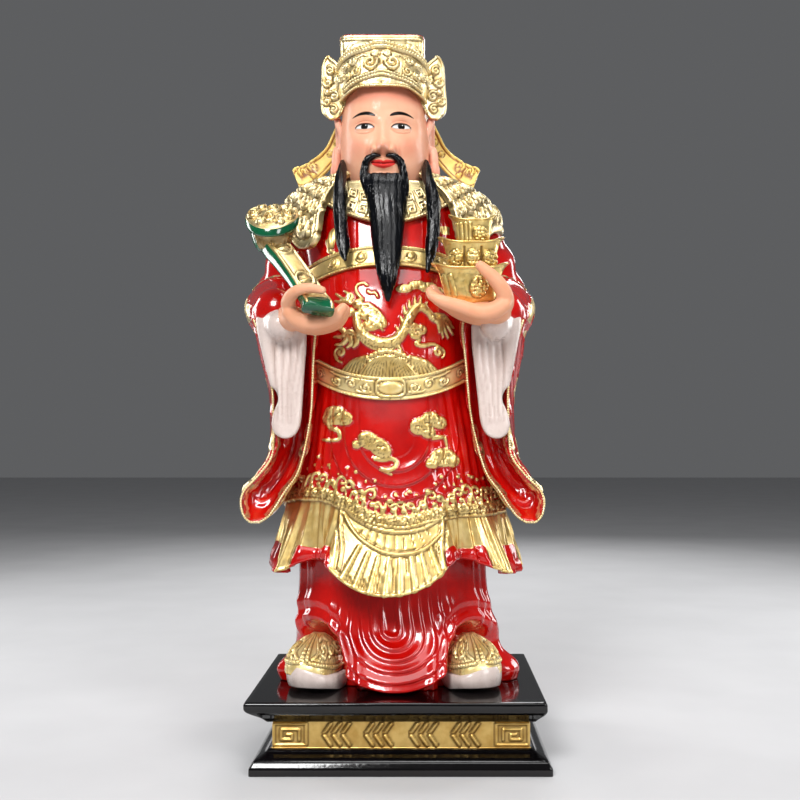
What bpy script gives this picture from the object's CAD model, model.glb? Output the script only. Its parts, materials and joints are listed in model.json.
import json
import math

import bpy
import mathutils
import numpy as np
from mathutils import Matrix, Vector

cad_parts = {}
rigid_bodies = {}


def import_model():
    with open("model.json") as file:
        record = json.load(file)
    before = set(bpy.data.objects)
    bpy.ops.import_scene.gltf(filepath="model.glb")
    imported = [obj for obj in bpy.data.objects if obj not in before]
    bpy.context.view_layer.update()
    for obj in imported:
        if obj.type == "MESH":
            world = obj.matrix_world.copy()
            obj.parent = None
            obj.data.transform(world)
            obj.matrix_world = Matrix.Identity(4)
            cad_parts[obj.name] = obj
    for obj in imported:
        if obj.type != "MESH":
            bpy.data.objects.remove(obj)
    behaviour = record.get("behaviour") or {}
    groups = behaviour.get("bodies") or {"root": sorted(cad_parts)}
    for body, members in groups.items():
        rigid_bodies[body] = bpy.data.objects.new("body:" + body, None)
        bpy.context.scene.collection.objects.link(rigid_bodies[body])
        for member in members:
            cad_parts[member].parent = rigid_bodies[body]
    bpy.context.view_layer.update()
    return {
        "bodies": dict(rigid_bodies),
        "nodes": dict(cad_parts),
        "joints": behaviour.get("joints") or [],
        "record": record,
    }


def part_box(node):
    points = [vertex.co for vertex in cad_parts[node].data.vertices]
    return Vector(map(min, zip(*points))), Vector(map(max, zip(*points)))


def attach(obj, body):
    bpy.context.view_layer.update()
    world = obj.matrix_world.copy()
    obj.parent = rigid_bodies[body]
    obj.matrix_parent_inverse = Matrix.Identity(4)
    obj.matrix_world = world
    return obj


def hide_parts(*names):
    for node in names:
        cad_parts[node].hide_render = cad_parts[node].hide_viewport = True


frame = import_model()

# The looks of a painted resin Caishen figure. Units are metres, +Z is up and the figure faces -Y.
# Shapes are worked out upright and symmetric; `leaned` sets them over to one side at the end.
_, PLINTH_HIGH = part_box("plinth")
_, FIGURE_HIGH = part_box("figure")
PLINTH_TOP = PLINTH_HIGH.z
HAT_TOP = FIGURE_HIGH.z
MM = 0.001
LEAN = -0.021
HEAD_SHIFT = -0.0021
FAR = 9.0

# Half-sections of the clothed body: height, half width, reach to the front, reach to the back.
OUTER_ROBE = (
    (0.110, 0.0885, 0.0690, 0.0590),
    (0.135, 0.0870, 0.0660, 0.0575),
    (0.150, 0.0845, 0.0630, 0.0560),
    (0.175, 0.0795, 0.0592, 0.0530),
    (0.200, 0.0745, 0.0575, 0.0505),
    (0.230, 0.0685, 0.0585, 0.0480),
    (0.255, 0.0640, 0.0612, 0.0460),
    (0.280, 0.0625, 0.0630, 0.0455),
    (0.300, 0.0625, 0.0618, 0.0455),
    (0.325, 0.0630, 0.0560, 0.0462),
    (0.345, 0.0645, 0.0485, 0.0468),
    (0.365, 0.0655, 0.0430, 0.0455),
    (0.380, 0.0640, 0.0400, 0.0425),
    (0.392, 0.0570, 0.0372, 0.0385),
    (0.402, 0.0450, 0.0340, 0.0340),
)
LOWER_ROBE = (
    (0.0483, 0.0806, 0.0530, 0.0560),
    (0.0560, 0.0812, 0.0520, 0.0560),
    (0.0700, 0.0745, 0.0490, 0.0525),
    (0.0850, 0.0702, 0.0450, 0.0490),
    (0.1150, 0.0664, 0.0405, 0.0460),
    (0.1550, 0.0660, 0.0400, 0.0450),
)
# The upper edge of the gilt waves on the skirt: way round the robe from the middle, height.
WAVE_LINE = (
    (-0.240, 0.1780), (-0.110, 0.1800), (-0.070, 0.1860), (-0.045, 0.1850), (-0.030, 0.1795),
    (-0.015, 0.1715), (0.000, 0.1680), (0.012, 0.1685), (0.024, 0.1720), (0.040, 0.1745),
    (0.065, 0.1755), (0.110, 0.1780), (0.240, 0.1780),
)


def smooth(keys):
    """A smooth curve through rows of (place, value, value, ...), as a function of place."""
    table = np.array(keys, float)
    places, values = table[:, 0], table[:, 1:]
    slopes = np.gradient(values, places, axis=0)

    def at(place):
        place = np.clip(np.asarray(place, float), places[0], places[-1])
        i = np.clip(np.searchsorted(places, place, side="right") - 1, 0, len(places) - 2)
        step = (places[i + 1] - places[i])[..., None]
        t = (place - places[i])[..., None] / step
        rise = values[i + 1] - values[i]
        a = slopes[i] * step - rise
        b = rise - slopes[i + 1] * step
        return np.moveaxis(values[i] + t * rise + t * (1 - t) * (a * (1 - t) + b * t), -1, 0)

    return at


def ease(low, high, value):
    """0 below low, 1 above high and a smooth step between. low may be above high."""
    t = np.clip((value - low) / (high - low), 0, 1)
    return t * t * (3 - 2 * t)


def bell(value, width):
    return np.exp(-((value / width) ** 2))


def power(value, exponent):
    """The signed power that squares off an ellipse."""
    return np.sign(value) * np.abs(value) ** exponent


def oval(angle, width, front, back, corner=2.2):
    """(x, y) of a section. Angle 0 faces the front, -Y, and turns towards +X."""
    s, c = np.sin(angle), np.cos(angle)
    reach = np.where(c > 0, front, back)
    return width * power(s, 2 / corner), -reach * power(c, 2 / corner)


def pushed(x, y, distance):
    """(x, y) moved outwards from the middle line by a distance."""
    radius = np.hypot(x, y)
    return x * (1 + distance / radius), y * (1 + distance / radius)


def turns(count):
    return np.linspace(-math.pi, math.pi, count, endpoint=False)


def spread(low, high, count, density):
    """Places from low to high, closer together where density is high."""
    fine = np.linspace(low, high, 4001)
    total = np.cumsum(density(fine))
    return np.interp(np.linspace(total[0], total[-1], count), total, fine)


def front_turns(count, extra, half):
    """A row of angles round a piece, closer together within half of its front."""
    return spread(-math.pi, math.pi, count, lambda a: 1 + extra * (np.abs(a) < half))[None, :-1]


def surface(x, y, z):
    """Points from their coordinates."""
    return np.stack(np.broadcast_arrays(x, y, z), -1)


def degrees_off_front(angle):
    return np.abs((np.degrees(angle) + 180) % 360 - 180)


def curve(points, steps=8):
    """A smooth line through points of any number of coordinates."""
    points = np.array(points, float)
    line = smooth(np.column_stack([np.arange(len(points)), points]))
    return line(np.linspace(0, len(points) - 1, steps * (len(points) - 1) + 1)).T


def curl(x, z, radius, start, turn, inner=0.25, steps=26):
    """A spiral that starts at an angle in degrees on its outer radius and winds inwards by turn degrees."""
    way = np.linspace(0, 1, steps)
    angle = np.radians(start + turn * way)
    reach = radius * (1 - (1 - inner) * way)
    return np.column_stack([x + reach * np.cos(angle), z + reach * np.sin(angle)])


def mm(*points):
    return np.array(points, float) * MM


def scatter(a, b, seed):
    """A fixed pseudo-random number from 0 to 1 for each whole (a, b)."""
    value = np.sin(a * 127.1 + b * 311.7 + seed * 74.7) * 43758.5453
    return value - np.floor(value)


def pebbles(u, v, pitch, seed=1):
    """Small domes packed side by side: 0 between them and 1 on their tops."""
    cell_u, cell_v = np.floor(u / pitch), np.floor(v / pitch)
    nearest = np.full(np.shape(u), FAR)
    for i in (-1, 0, 1):
        for j in (-1, 0, 1):
            a, b = cell_u + i, cell_v + j
            away_u = u / pitch - a - 0.2 - 0.6 * scatter(a, b, seed)
            away_v = v / pitch - b - 0.2 - 0.6 * scatter(a, b, seed + 5)
            nearest = np.minimum(nearest, np.hypot(away_u, away_v))
    return np.sqrt(np.clip(1 - (nearest / 0.66) ** 2, 0, 1))


def leaned(points):
    """The casting's slight lean sideways. The head is a little further over."""
    points = np.array(points, float)
    points[..., 0] += LEAN * (points[..., 2] - PLINTH_TOP) + HEAD_SHIFT * ease(0.385, 0.410, points[..., 2])
    return points


def blurred(field, passes, wrap):
    for _ in range(passes):
        padded = np.pad(field, ((1, 1), (0, 0)), mode="edge")
        field = (padded[:-2] + padded[2:] + 2 * field) / 4
        padded = np.pad(field, ((0, 0), (1, 1)), mode="wrap" if wrap else "edge")
        field = (padded[:, :-2] + padded[:, 2:] + 2 * field) / 4
    return field


class Skin:
    """A grid of points with relief on it. Rows run upwards and columns run round, to the right at the front.

    u and v are the flat coordinates that the relief is drawn in. height is the relief, gilt is how far
    inside the gilding a point is, in metres, and negative outside it. shade, where it is given, says how
    much dark wash a point holds, and otherwise the relief's hollows say it."""

    shade = None

    def __init__(self, grid, wrap=True):
        self.grid = np.array(grid, float)
        self.wrap = wrap
        self.u, self.v = self.grid[..., 0].copy(), self.grid[..., 2].copy()
        self.height = np.zeros(self.u.shape)
        self.gilt = np.full(self.u.shape, -0.005)
        self.tint = None

    def normals(self):
        along = np.gradient(self.grid, axis=0)
        if self.wrap:
            across = np.roll(self.grid, -1, 1) - np.roll(self.grid, 1, 1)
        else:
            across = np.gradient(self.grid, axis=1)
        normal = np.cross(across, along)
        return normal / (np.linalg.norm(normal, axis=-1, keepdims=True) + 1e-12)

    def trace(self, line, radius):
        """The points near a line, and for each its distance in radii, its way along, and the radius there."""
        line = np.array(line, float)
        radii = np.interp(np.linspace(0, 1, len(line)), np.linspace(0, 1, np.size(radius)),
                          np.ravel(radius))
        margin = radii.max() * 1.3
        near = (self.u > line[:, 0].min() - margin) & (self.u < line[:, 0].max() + margin)
        near &= (self.v > line[:, 1].min() - margin) & (self.v < line[:, 1].max() + margin)
        u, v = self.u[near], self.v[near]
        off, way, size = np.full(u.shape, FAR), np.zeros(u.shape), np.ones(u.shape)
        start = 0.0
        for a, b, ra, rb in zip(line, line[1:], radii, radii[1:]):
            step = b - a
            length = math.hypot(*step) + 1e-9
            t = np.clip(((u - a[0]) * step[0] + (v - a[1]) * step[1]) / length**2, 0, 1)
            r = ra + (rb - ra) * t
            distance = np.hypot(u - a[0] - t * step[0], v - a[1] - t * step[1]) / r
            closer = distance < off
            off[closer], size[closer] = distance[closer], r[closer]
            way[closer] = start + (t * length)[closer]
            start += length
        return near, off, way, size

    def raised(self, near, height, depth):
        self.height[near] = np.maximum(self.height[near], height)
        if depth is not None:
            self.gilt[near] = np.maximum(self.gilt[near], depth)

    def ridge(self, line, radius, tall, beads=None, gilt=True, grain=0.0, pitch=0.0018):
        """A rounded cord along a line, plain or covered in pebbles, or a string of beads at a spacing."""
        near, off, way, size = self.trace(line, radius)
        dome = np.sqrt(np.clip(1 - off**2, 0, 1))
        if beads:
            dome = dome * (0.25 + 0.75 * np.sqrt(np.clip(1 - (2 * np.mod(way / beads, 1) - 1) ** 2, 0, 1)))
        height = tall * dome
        if grain:
            height = height + grain * dome * pebbles(self.u[near], self.v[near], pitch)
        self.raised(near, height, (1 - off) * size if gilt else None)

    def stroke(self, points, *how, **more):
        """A ridge along a smooth line through points in millimetres."""
        self.ridge(curve(mm(*points), 6), *how, **more)

    def groove(self, line, radius, deep):
        near, off, _, _ = self.trace(line, radius)
        self.height[near] -= deep * np.clip(1 - off**2, 0, 1)

    def disc(self, u, v, half_u, half_v, turn, tall, grain=0.0, pitch=0.0016, gilt=True):
        """An oval cushion, smooth or covered in pebbles."""
        reach = max(half_u, half_v)
        near = (np.abs(self.u - u) < reach) & (np.abs(self.v - v) < reach)
        du, dv = self.u[near] - u, self.v[near] - v
        c, s = math.cos(math.radians(turn)), math.sin(math.radians(turn))
        off = np.hypot((du * c + dv * s) / half_u, (-du * s + dv * c) / half_v)
        dome = np.clip(1 - off**4, 0, 1) ** 0.5
        height = tall * dome
        if grain:
            height = height + grain * pebbles(self.u[near], self.v[near], pitch) * (dome > 0)
        self.raised(near, height, (1 - off) * min(half_u, half_v) if gilt else None)

    def points(self):
        return self.grid + self.normals() * self.height[..., None]

    def hollows(self):
        """0 on plain ground and up to 1 deep between raised forms."""
        low = blurred(self.height, 3, self.wrap) - self.height
        return np.clip(low / 0.00026, 0, 1)

    def rows(self, start, stop):
        """A band of rows, with the relief as it is."""
        part = Skin(self.points()[start:stop], self.wrap)
        part.gilt = self.gilt[start:stop]
        part.shade = self.hollows()[start:stop]
        return part

    def build(self, name, finish, slot, closed=(False, False), replaces=()):
        """The mesh of this skin. closed fans the first and the last row to a point."""
        points = leaned(self.points())
        shade = self.hollows() if self.shade is None else self.shade
        count, columns = self.u.shape
        index = np.arange(count * columns).reshape(count, columns)
        right = np.roll(index, -1, 1) if self.wrap else index[:, 1:]
        left = index if self.wrap else index[:, :-1]
        faces = np.stack([left[:-1], right[:-1], right[1:], left[1:]], -1).reshape(-1, 4).tolist()
        flat = points.reshape(-1, 3)
        fields = {"gilding": self.gilt.ravel(), "hollow": shade.ravel()}
        poles = []
        for ring, end, wanted in ((index[0], 0, closed[0]), (index[-1], -1, closed[1])):
            if wanted:
                pole = count * columns + len(poles)
                poles.append(points[end].mean(0))
                for field, values in fields.items():
                    fields[field] = np.append(values, values[ring].mean())
                pairs = zip(ring.tolist(), np.roll(ring, -1).tolist())
                faces += [(b, a, pole) if end == 0 else (a, b, pole) for a, b in pairs]
        if poles:
            flat = np.vstack([flat, poles])
        tint = self.tint
        if tint is not None:
            tint = tint.reshape(-1, 3)
            tint = np.vstack([tint] + [tint[-1:]] * len(poles))
        return piece(name, flat, faces, finish, fields, tint, replaces)


def closed_forms(grids):
    """Rings of points as closed bodies with a fan at each end."""
    points, faces = [], []
    for grid in grids:
        rows, columns = grid.shape[:2]
        first = len(points)
        points.extend(grid.reshape(-1, 3).tolist())
        points.append(grid[0].mean(0).tolist())
        points.append(grid[-1].mean(0).tolist())
        index = first + np.arange(rows * columns).reshape(rows, columns)
        right = np.roll(index, -1, 1)
        faces.extend(np.stack([index[:-1], right[:-1], right[1:], index[1:]], -1).reshape(-1, 4).tolist())
        for ring, turned, pole in ((right[0], index[0], first + rows * columns),
                                   (index[-1], right[-1], first + rows * columns + 1)):
            faces.extend((a, b, pole) for a, b in zip(ring.tolist(), turned.tolist()))
    return points, faces


class Cast(Skin):
    """Closed forms that overlap, melted into one smooth skin, to take relief like any other."""

    def __init__(self, grids, voxel, passes):
        points, faces = closed_forms(grids)
        mesh = bpy.data.meshes.new("rough")
        mesh.from_pydata(points, [], faces)
        rough = bpy.data.objects.new("rough", mesh)
        bpy.context.scene.collection.objects.link(rough)
        melt = rough.modifiers.new("melt", "REMESH")
        melt.mode = "VOXEL"
        melt.voxel_size = voxel
        melted = bpy.data.meshes.new_from_object(rough.evaluated_get(bpy.context.evaluated_depsgraph_get()))
        bpy.data.objects.remove(rough)
        count = len(melted.vertices)
        self.grid = np.empty(count * 3)
        melted.vertices.foreach_get("co", self.grid)
        self.grid = self.grid.reshape(-1, 3)
        self.edges = np.empty(len(melted.edges) * 2, int)
        melted.edges.foreach_get("vertices", self.edges)
        self.edges = self.edges.reshape(-1, 2)
        self.faces = [tuple(face.vertices) for face in melted.polygons]
        for _ in range(passes):
            self.grid = (self.grid + self.around(self.grid)) / 2
        melted.vertices.foreach_set("co", self.grid.ravel())
        melted.update()
        self.facing = np.empty(count * 3)
        melted.vertices.foreach_get("normal", self.facing)
        self.facing = self.facing.reshape(-1, 3)
        bpy.data.meshes.remove(melted)
        self.wrap = False
        self.u, self.v = self.grid[:, 0].copy(), self.grid[:, 2].copy()
        self.height = np.zeros(count)
        self.gilt = np.full(count, -0.005)
        self.tint = None

    def around(self, field):
        """The mean of each point's neighbours."""
        field = np.asarray(field, float)
        total = np.zeros_like(field)
        for a, b in ((0, 1), (1, 0)):
            np.add.at(total, self.edges[:, a], field[self.edges[:, b]])
        count = np.bincount(self.edges.ravel(), minlength=len(field))
        return total / (count[:, None] if field.ndim == 2 else count)

    def normals(self):
        return self.facing

    def hollows(self):
        low = self.height
        for _ in range(4):
            low = (low + self.around(low)) / 2
        return np.clip((low - self.height) / 0.00035, 0, 1)

    def build(self, name, finish, slot, replaces=()):
        shade = self.hollows() if self.shade is None else self.shade
        fields = {"gilding": self.gilt, "hollow": shade}
        return piece(name, leaned(self.points()), self.faces, finish, fields, self.tint, replaces)


def piece(name, points, faces, finish, fields=None, tint=None, replaces=()):
    """A finished object on the figure's one body."""
    mesh = bpy.data.meshes.new(name)
    mesh.from_pydata(points.tolist(), [], faces)
    for field, values in (fields or {}).items():
        layer = mesh.attributes.new(field, "FLOAT", "POINT")
        layer.data.foreach_set("value", np.asarray(values, np.float32))
    if tint is not None:
        layer = mesh.attributes.new("tint", "FLOAT_COLOR", "POINT")
        layer.data.foreach_set("color",
                               np.column_stack([tint, np.ones(len(tint))]).astype(np.float32).ravel())
    mesh.shade_smooth()
    mesh.materials.append(finish)
    made = bpy.data.objects.new(name, mesh)
    bpy.context.scene.collection.objects.link(made)
    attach(made, "root")
    if replaces:
        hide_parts(*replaces)
    return made


def tube(points, radii, columns, steps=10):
    """A limb, finger or cord of cloth along a smooth line, with round ends."""
    places = np.arange(len(points), dtype=float)
    line = smooth(np.column_stack([places, np.array(points, float), np.array(radii, float)]))
    x, y, z, radius = line(np.linspace(0, places[-1], steps * (len(points) - 1) + 1))
    centre = surface(x, y, z)
    tangent = np.gradient(centre, axis=0)
    tangent /= np.linalg.norm(tangent, axis=1, keepdims=True)
    cap = np.sin(np.linspace(0.2, math.pi / 2, 6))[:-1]
    start = [centre[0] - tangent[0] * radius[0] * math.sqrt(1 - c * c) for c in cap]
    end = [centre[-1] + tangent[-1] * radius[-1] * math.sqrt(1 - c * c) for c in cap[::-1]]
    centre = np.concatenate([start, centre, end])
    tangent = np.concatenate([[tangent[0]] * len(cap), tangent, [tangent[-1]] * len(cap)])
    radius = np.concatenate([radius[0] * cap, radius, radius[-1] * cap[::-1]])
    across = np.cross(tangent[0], (0.0, 0.3, 1.0))
    rings = []
    for c, t, r in zip(centre, tangent, radius):
        across = across - t * np.dot(across, t)
        across = across / np.linalg.norm(across)
        up = np.cross(across, t)
        a = turns(columns)[:, None]
        rings.append(c + r * (np.cos(a) * across + np.sin(a) * up))
    return np.array(rings)


def blob(centre, radii, columns=32, rows=20):
    """An ellipsoid, as rings from its lowest to its highest point."""
    angle = turns(columns)[None, :]
    rise = np.linspace(-math.pi / 2, math.pi / 2, rows + 2)[1:-1, None]
    x = centre[0] + radii[0] * np.cos(rise) * np.sin(angle)
    y = centre[1] - radii[1] * np.cos(rise) * np.cos(angle)
    z = centre[2] + radii[2] * np.sin(rise) * np.ones_like(angle)
    return surface(x, y, z)


def mirrored(side, points):
    return [(side * x, y, z) for x, y, z in points]


def beaded_cord(name, line, radius, spacing, finish, slot):
    """A string of small beads along a line in space."""
    line = np.array(line, float)
    length = np.concatenate([[0], np.cumsum(np.linalg.norm(np.diff(line, axis=0), axis=1))])
    fine = np.arange(0, length[-1], spacing / 4)
    centre = np.stack([np.interp(fine, length, line[:, i]) for i in range(3)], -1)
    swell = 0.55 + 0.45 * np.sqrt(np.clip(1 - (2 * np.mod(fine / spacing, 1) - 1) ** 2, 0, 1))
    tangent = np.gradient(centre, axis=0)
    tangent /= np.linalg.norm(tangent, axis=1, keepdims=True)
    across = np.cross(tangent, (0.03, -1.0, 0.02))
    across /= np.linalg.norm(across, axis=1, keepdims=True)
    up = np.cross(across, tangent)
    a = turns(7)[None, :, None]
    ring = radius * swell[:, None, None] * (np.cos(a) * across[:, None] + np.sin(a) * up[:, None])
    skin = Skin(centre[:, None] + ring)
    skin.gilt[:] = 0.002
    skin.shade = np.clip(1.6 - 2.2 * swell, 0, 1)[:, None] * np.ones_like(skin.u)
    skin.build(name, finish, slot, closed=(True, True))


# Finishes


def linear(red, green, blue):
    """A colour from its 0-255 screen values."""
    return tuple((c / 255) ** 2.2 for c in (red, green, blue))


class Shader:
    """A node tree being built for one material."""

    def __init__(self, name, **sockets):
        self.material = bpy.data.materials.new(name)
        self.material.use_nodes = True
        self.tree = self.material.node_tree
        self.surface = self.tree.nodes["Principled BSDF"]
        for socket, value in sockets.items():
            self.surface.inputs[socket.replace("_", " ")].default_value = value

    def node(self, kind, **inputs):
        made = self.tree.nodes.new("ShaderNode" + kind)
        for socket, value in inputs.items():
            self.plug(made.inputs[socket], value)
        return made

    def plug(self, socket, value):
        if isinstance(value, bpy.types.NodeSocket):
            self.tree.links.new(value, socket)
        else:
            socket.default_value = value

    def sum(self, kind, *values):
        made = self.tree.nodes.new("ShaderNodeMath")
        made.operation = kind
        for socket, value in zip(made.inputs, values):
            self.plug(socket, value)
        return made.outputs[0]

    def blend(self, share, low, high):
        made = self.tree.nodes.new("ShaderNodeMix")
        made.data_type = "RGBA"
        self.plug(made.inputs["Factor"], share)
        for socket, value in (("A", low), ("B", high)):
            colour = [i for i in made.inputs if i.name == socket and i.type == "RGBA"][0]
            self.plug(colour, (*value, 1.0) if isinstance(value, tuple) else value)
        return [o for o in made.outputs if o.type == "RGBA"][0]

    def field(self, name):
        made = self.tree.nodes.new("ShaderNodeAttribute")
        made.attribute_name = name
        return made

    def noise(self, scale, detail=3.0, stretch=None):
        made = self.node("TexNoise", Scale=scale, Detail=detail)
        where = self.node("TexCoord").outputs["Object"]
        if stretch:
            mapping = self.node("Mapping", Vector=where)
            mapping.inputs["Scale"].default_value = stretch
            where = mapping.outputs[0]
        self.plug(made.inputs["Vector"], where)
        return made.outputs["Fac"]

    def ramp(self, value, low, high):
        """value from low to high becomes 0 to 1."""
        made = self.node("MapRange")
        for socket, amount in (("Value", value), ("From Min", low), ("From Max", high)):
            self.plug(made.inputs[socket], amount)
        return made.outputs[0]

    def bump(self, height, strength, distance):
        made = self.node("Bump", Strength=strength, Distance=distance)
        self.plug(made.inputs["Height"], height)
        self.plug(self.surface.inputs["Normal"], made.outputs[0])

    def set(self, socket, value):
        self.plug(self.surface.inputs[socket], value)


GOLD_LIGHT = (0.92, 0.76, 0.40)
GOLD_DEEP = (0.80, 0.57, 0.21)
GOLD_SHADE = (0.16, 0.085, 0.020)


def gilded(name, ground, ground_deep, roughness=0.16, coat=0.6, leaf_light=GOLD_LIGHT, leaf_deep=GOLD_DEEP,
           metal=0.90):
    """Enamel of one colour with gilding where the piece's relief carries it. Hollows keep a dark wash."""
    made = Shader(name, Coat_Weight=coat, Coat_Roughness=0.04, IOR=1.5)
    hollow = made.field("hollow").outputs["Fac"]
    brush = made.noise(1400.0, 2.0)
    edge = made.sum("MULTIPLY_ADD", brush, 0.0003, made.field("gilding").outputs["Fac"])
    gold = made.ramp(edge, 0.00010, 0.00022)
    leaf = made.ramp(made.noise(130.0, 4.0), 0.35, 0.68)
    washed = made.sum("MULTIPLY", hollow, 0.85)
    gold_colour = made.blend(washed, made.blend(leaf, leaf_light, leaf_deep), GOLD_SHADE)
    flow = made.ramp(made.noise(45.0, 3.0), 0.3, 0.75)
    ground_colour = made.blend(made.sum("MULTIPLY", hollow, 0.7), made.blend(flow, ground, ground_deep),
                               ground_deep)
    made.set("Base Color", made.blend(gold, ground_colour, gold_colour))
    made.set("Metallic", made.sum("MULTIPLY", gold, metal))
    gold_rough = made.ramp(made.noise(420.0, 3.0), -0.7, 2.6)
    spread_out = made.node("MapRange")
    for socket, value in (("Value", gold), ("To Min", roughness), ("To Max", gold_rough)):
        made.plug(spread_out.inputs[socket], value)
    made.set("Roughness", spread_out.outputs[0])
    made.bump(made.noise(260.0, 5.0), 0.22, 0.0004)
    return made.material


def tinted(name, roughness, coat, bump=0.05, subsurface=0.0):
    """A paint whose colour is laid down on the piece itself, such as flesh with lips and eyes."""
    made = Shader(name, Coat_Weight=coat, Coat_Roughness=0.08, Subsurface_Weight=subsurface,
                  Specular_IOR_Level=0.14)
    if subsurface:
        made.surface.inputs["Subsurface Radius"].default_value = (1.0, 0.35, 0.2)
        made.surface.inputs["Subsurface Scale"].default_value = 0.0015
    colour = made.field("tint").outputs["Color"]
    mottle = made.ramp(made.noise(90.0, 4.0), 0.3, 0.7)
    deep = made.node("Gamma", Color=colour, Gamma=1.12)
    made.set("Base Color", made.blend(mottle, colour, deep.outputs[0]))
    made.set("Roughness", made.ramp(made.noise(300.0, 3.0), 0.5 - roughness * 3, 0.5 + (1 - roughness) * 3))
    made.bump(made.noise(700.0, 3.0), bump, 0.0003)
    return made.material


def painted(name, colour, deep, roughness, coat, grain=None, bump=0.15, scale=160.0, shine=0.5, wash=None):
    """One paint with slight pooling in its hollows."""
    made = Shader(name, Coat_Weight=coat, Coat_Roughness=0.06, Specular_IOR_Level=shine)
    pool = made.ramp(made.noise(scale, 4.0, grain), 0.3, 0.75)
    hollow = made.field("hollow").outputs["Fac"]
    made.set("Base Color", made.blend(hollow, made.blend(pool, colour, deep), wash or deep))
    made.set("Roughness", made.ramp(made.noise(scale * 2, 3.0), 0.5 - roughness * 3,
                                    0.5 + (1 - roughness) * 3))
    made.bump(made.noise(scale * 3, 4.0, grain), bump, 0.0003)
    return made.material


RED = linear(202, 21, 14)
RED_DEEP = linear(162, 10, 8)
SKIN_TONE = linear(230, 168, 134)
ENAMEL = gilded("red enamel and pale gilding", RED, RED_DEEP,
                leaf_light=(0.93, 0.79, 0.46), leaf_deep=(0.80, 0.60, 0.25))
ROBE = gilded("red enamel and deep gilding", RED, RED_DEEP, metal=0.82,
              leaf_light=(0.86, 0.65, 0.26), leaf_deep=(0.72, 0.48, 0.145))
SATIN = gilded("satin gilding", RED, RED_DEEP, roughness=0.3, metal=0.60,
               leaf_light=(0.97, 0.79, 0.38), leaf_deep=(0.88, 0.62, 0.20))
LACQUER = gilded("black lacquer and gilding", linear(16, 13, 15), linear(8, 6, 7), roughness=0.10,
                 coat=0.15,
                 leaf_light=(0.78, 0.53, 0.17), leaf_deep=(0.60, 0.36, 0.09))
JADE = gilded("green enamel and gilding", linear(14, 104, 66), linear(6, 60, 40))
GOLD = gilded("gold leaf", linear(120, 78, 26), linear(70, 42, 14), roughness=0.4,
              leaf_light=(0.92, 0.70, 0.26), leaf_deep=(0.76, 0.50, 0.13))
FLESH = tinted("flesh", roughness=0.42, coat=0.14, bump=0.04, subsurface=0.10)
PEARL = painted("pearl white", linear(226, 210, 202), linear(198, 178, 170), roughness=0.30, coat=0.25,
                grain=(1, 1, 0.2), bump=0.10, scale=120.0)
HAIR = painted("black hair", linear(15, 17, 22), linear(4, 5, 7), roughness=0.18, coat=0.0,
               grain=(1, 1, 0.15), bump=0.75, scale=420.0, shine=0.30)
YELLOW = painted("satin yellow", linear(244, 216, 124), linear(228, 190, 94), roughness=0.40, coat=0.1,
                 bump=0.12, scale=200.0, wash=linear(132, 74, 20))


# The coat: belly, skirt and the gilt hem, in one casting


def robe_way(angle):
    """The way round the skirt from its middle, in metres, as drawn for the hem."""
    fine = np.linspace(-math.pi, math.pi, 721)
    x, y = oval(fine, 0.0775, 0.0585, 0.0515)
    length = np.concatenate([[0], np.cumsum(np.hypot(np.diff(x), np.diff(y)))])
    return np.interp(angle, fine, length - length[-1] / 2)


FIRST_VALLEY = 34
HEM_TURN = 2.3
CLOTH = 0.0016
# Where the hem's lobes and valleys are, in degrees from the tongue's middle: even ones stand out.
RUFFLES = (20, FIRST_VALLEY, 54.5, 70, 84, 100, 116, 132, 148, 164, 180)
# The lower edge outside the tongue: degrees from the tongue's middle, height.
HEM_EDGE = (
    (FIRST_VALLEY, 0.1390), (43, 0.1378), (49, 0.1325), (55, 0.1292), (62, 0.1278), (70, 0.1262),
    (78, 0.1262),
    (86, 0.1290), (100, 0.1400), (116, 0.1300), (132, 0.1400), (148, 0.1300), (164, 0.1400), (180, 0.1300),
)


def off_tongue(angle):
    """Degrees from the middle of the hem's tongue, which is a little to one side."""
    return np.abs((np.degrees(angle) + HEM_TURN + 180) % 360 - 180)


def ruffle_phase(angle):
    return math.pi * np.interp(off_tongue(angle), RUFFLES, np.arange(len(RUFFLES)))


def hem_height(angle):
    """The lower edge: a tongue in the middle, then lobes and valleys."""
    degrees = off_tongue(angle)
    tongue = 0.1170 + 0.0160 * np.minimum(degrees / 21, 1.4) ** 2
    front = tongue + (HEM_EDGE[0][1] - tongue) * ease(20, 29, degrees)
    return np.where(degrees < FIRST_VALLEY, front, smooth(HEM_EDGE)(degrees)[0])


def lining_lip(angle):
    """How far the red lining turns out below the gilding, in metres."""
    degrees, off = np.degrees(angle), off_tongue(angle)
    drape = 0.1462 + 0.0028 * bell(off - 26, 4) + 0.0022 * bell(off - 46, 3)
    valleys = np.clip(drape - hem_height(angle), 0, 1) * ease(21.0, 22.5, off) * ease(48.5, 46.5, off)
    left = 0.0210 * ease(-63, -66, degrees) * ease(-94, -84, degrees)
    right = 0.0200 * ease(59, 62, degrees) * ease(80, 77, degrees)
    return valleys + left + right


def skirt_folds(x, z):
    """Folds hung from the belt: each swells slowly outwards and drops sharply under its ridge."""
    ring = np.hypot(x - 0.002, np.minimum(z - 0.222, 0))
    fold = np.mod((ring - 0.0140) / 0.0100, 1)
    swell = fold**1.5 * (1 - ease(0.82, 1.0, fold))
    strong = ease(0.010, 0.022, ring) * (1 - ease(0.046, 0.054, ring)) * (1 - 0.80 * ease(0.206, 0.244, z))
    return 0.0026 * swell * strong


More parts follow.
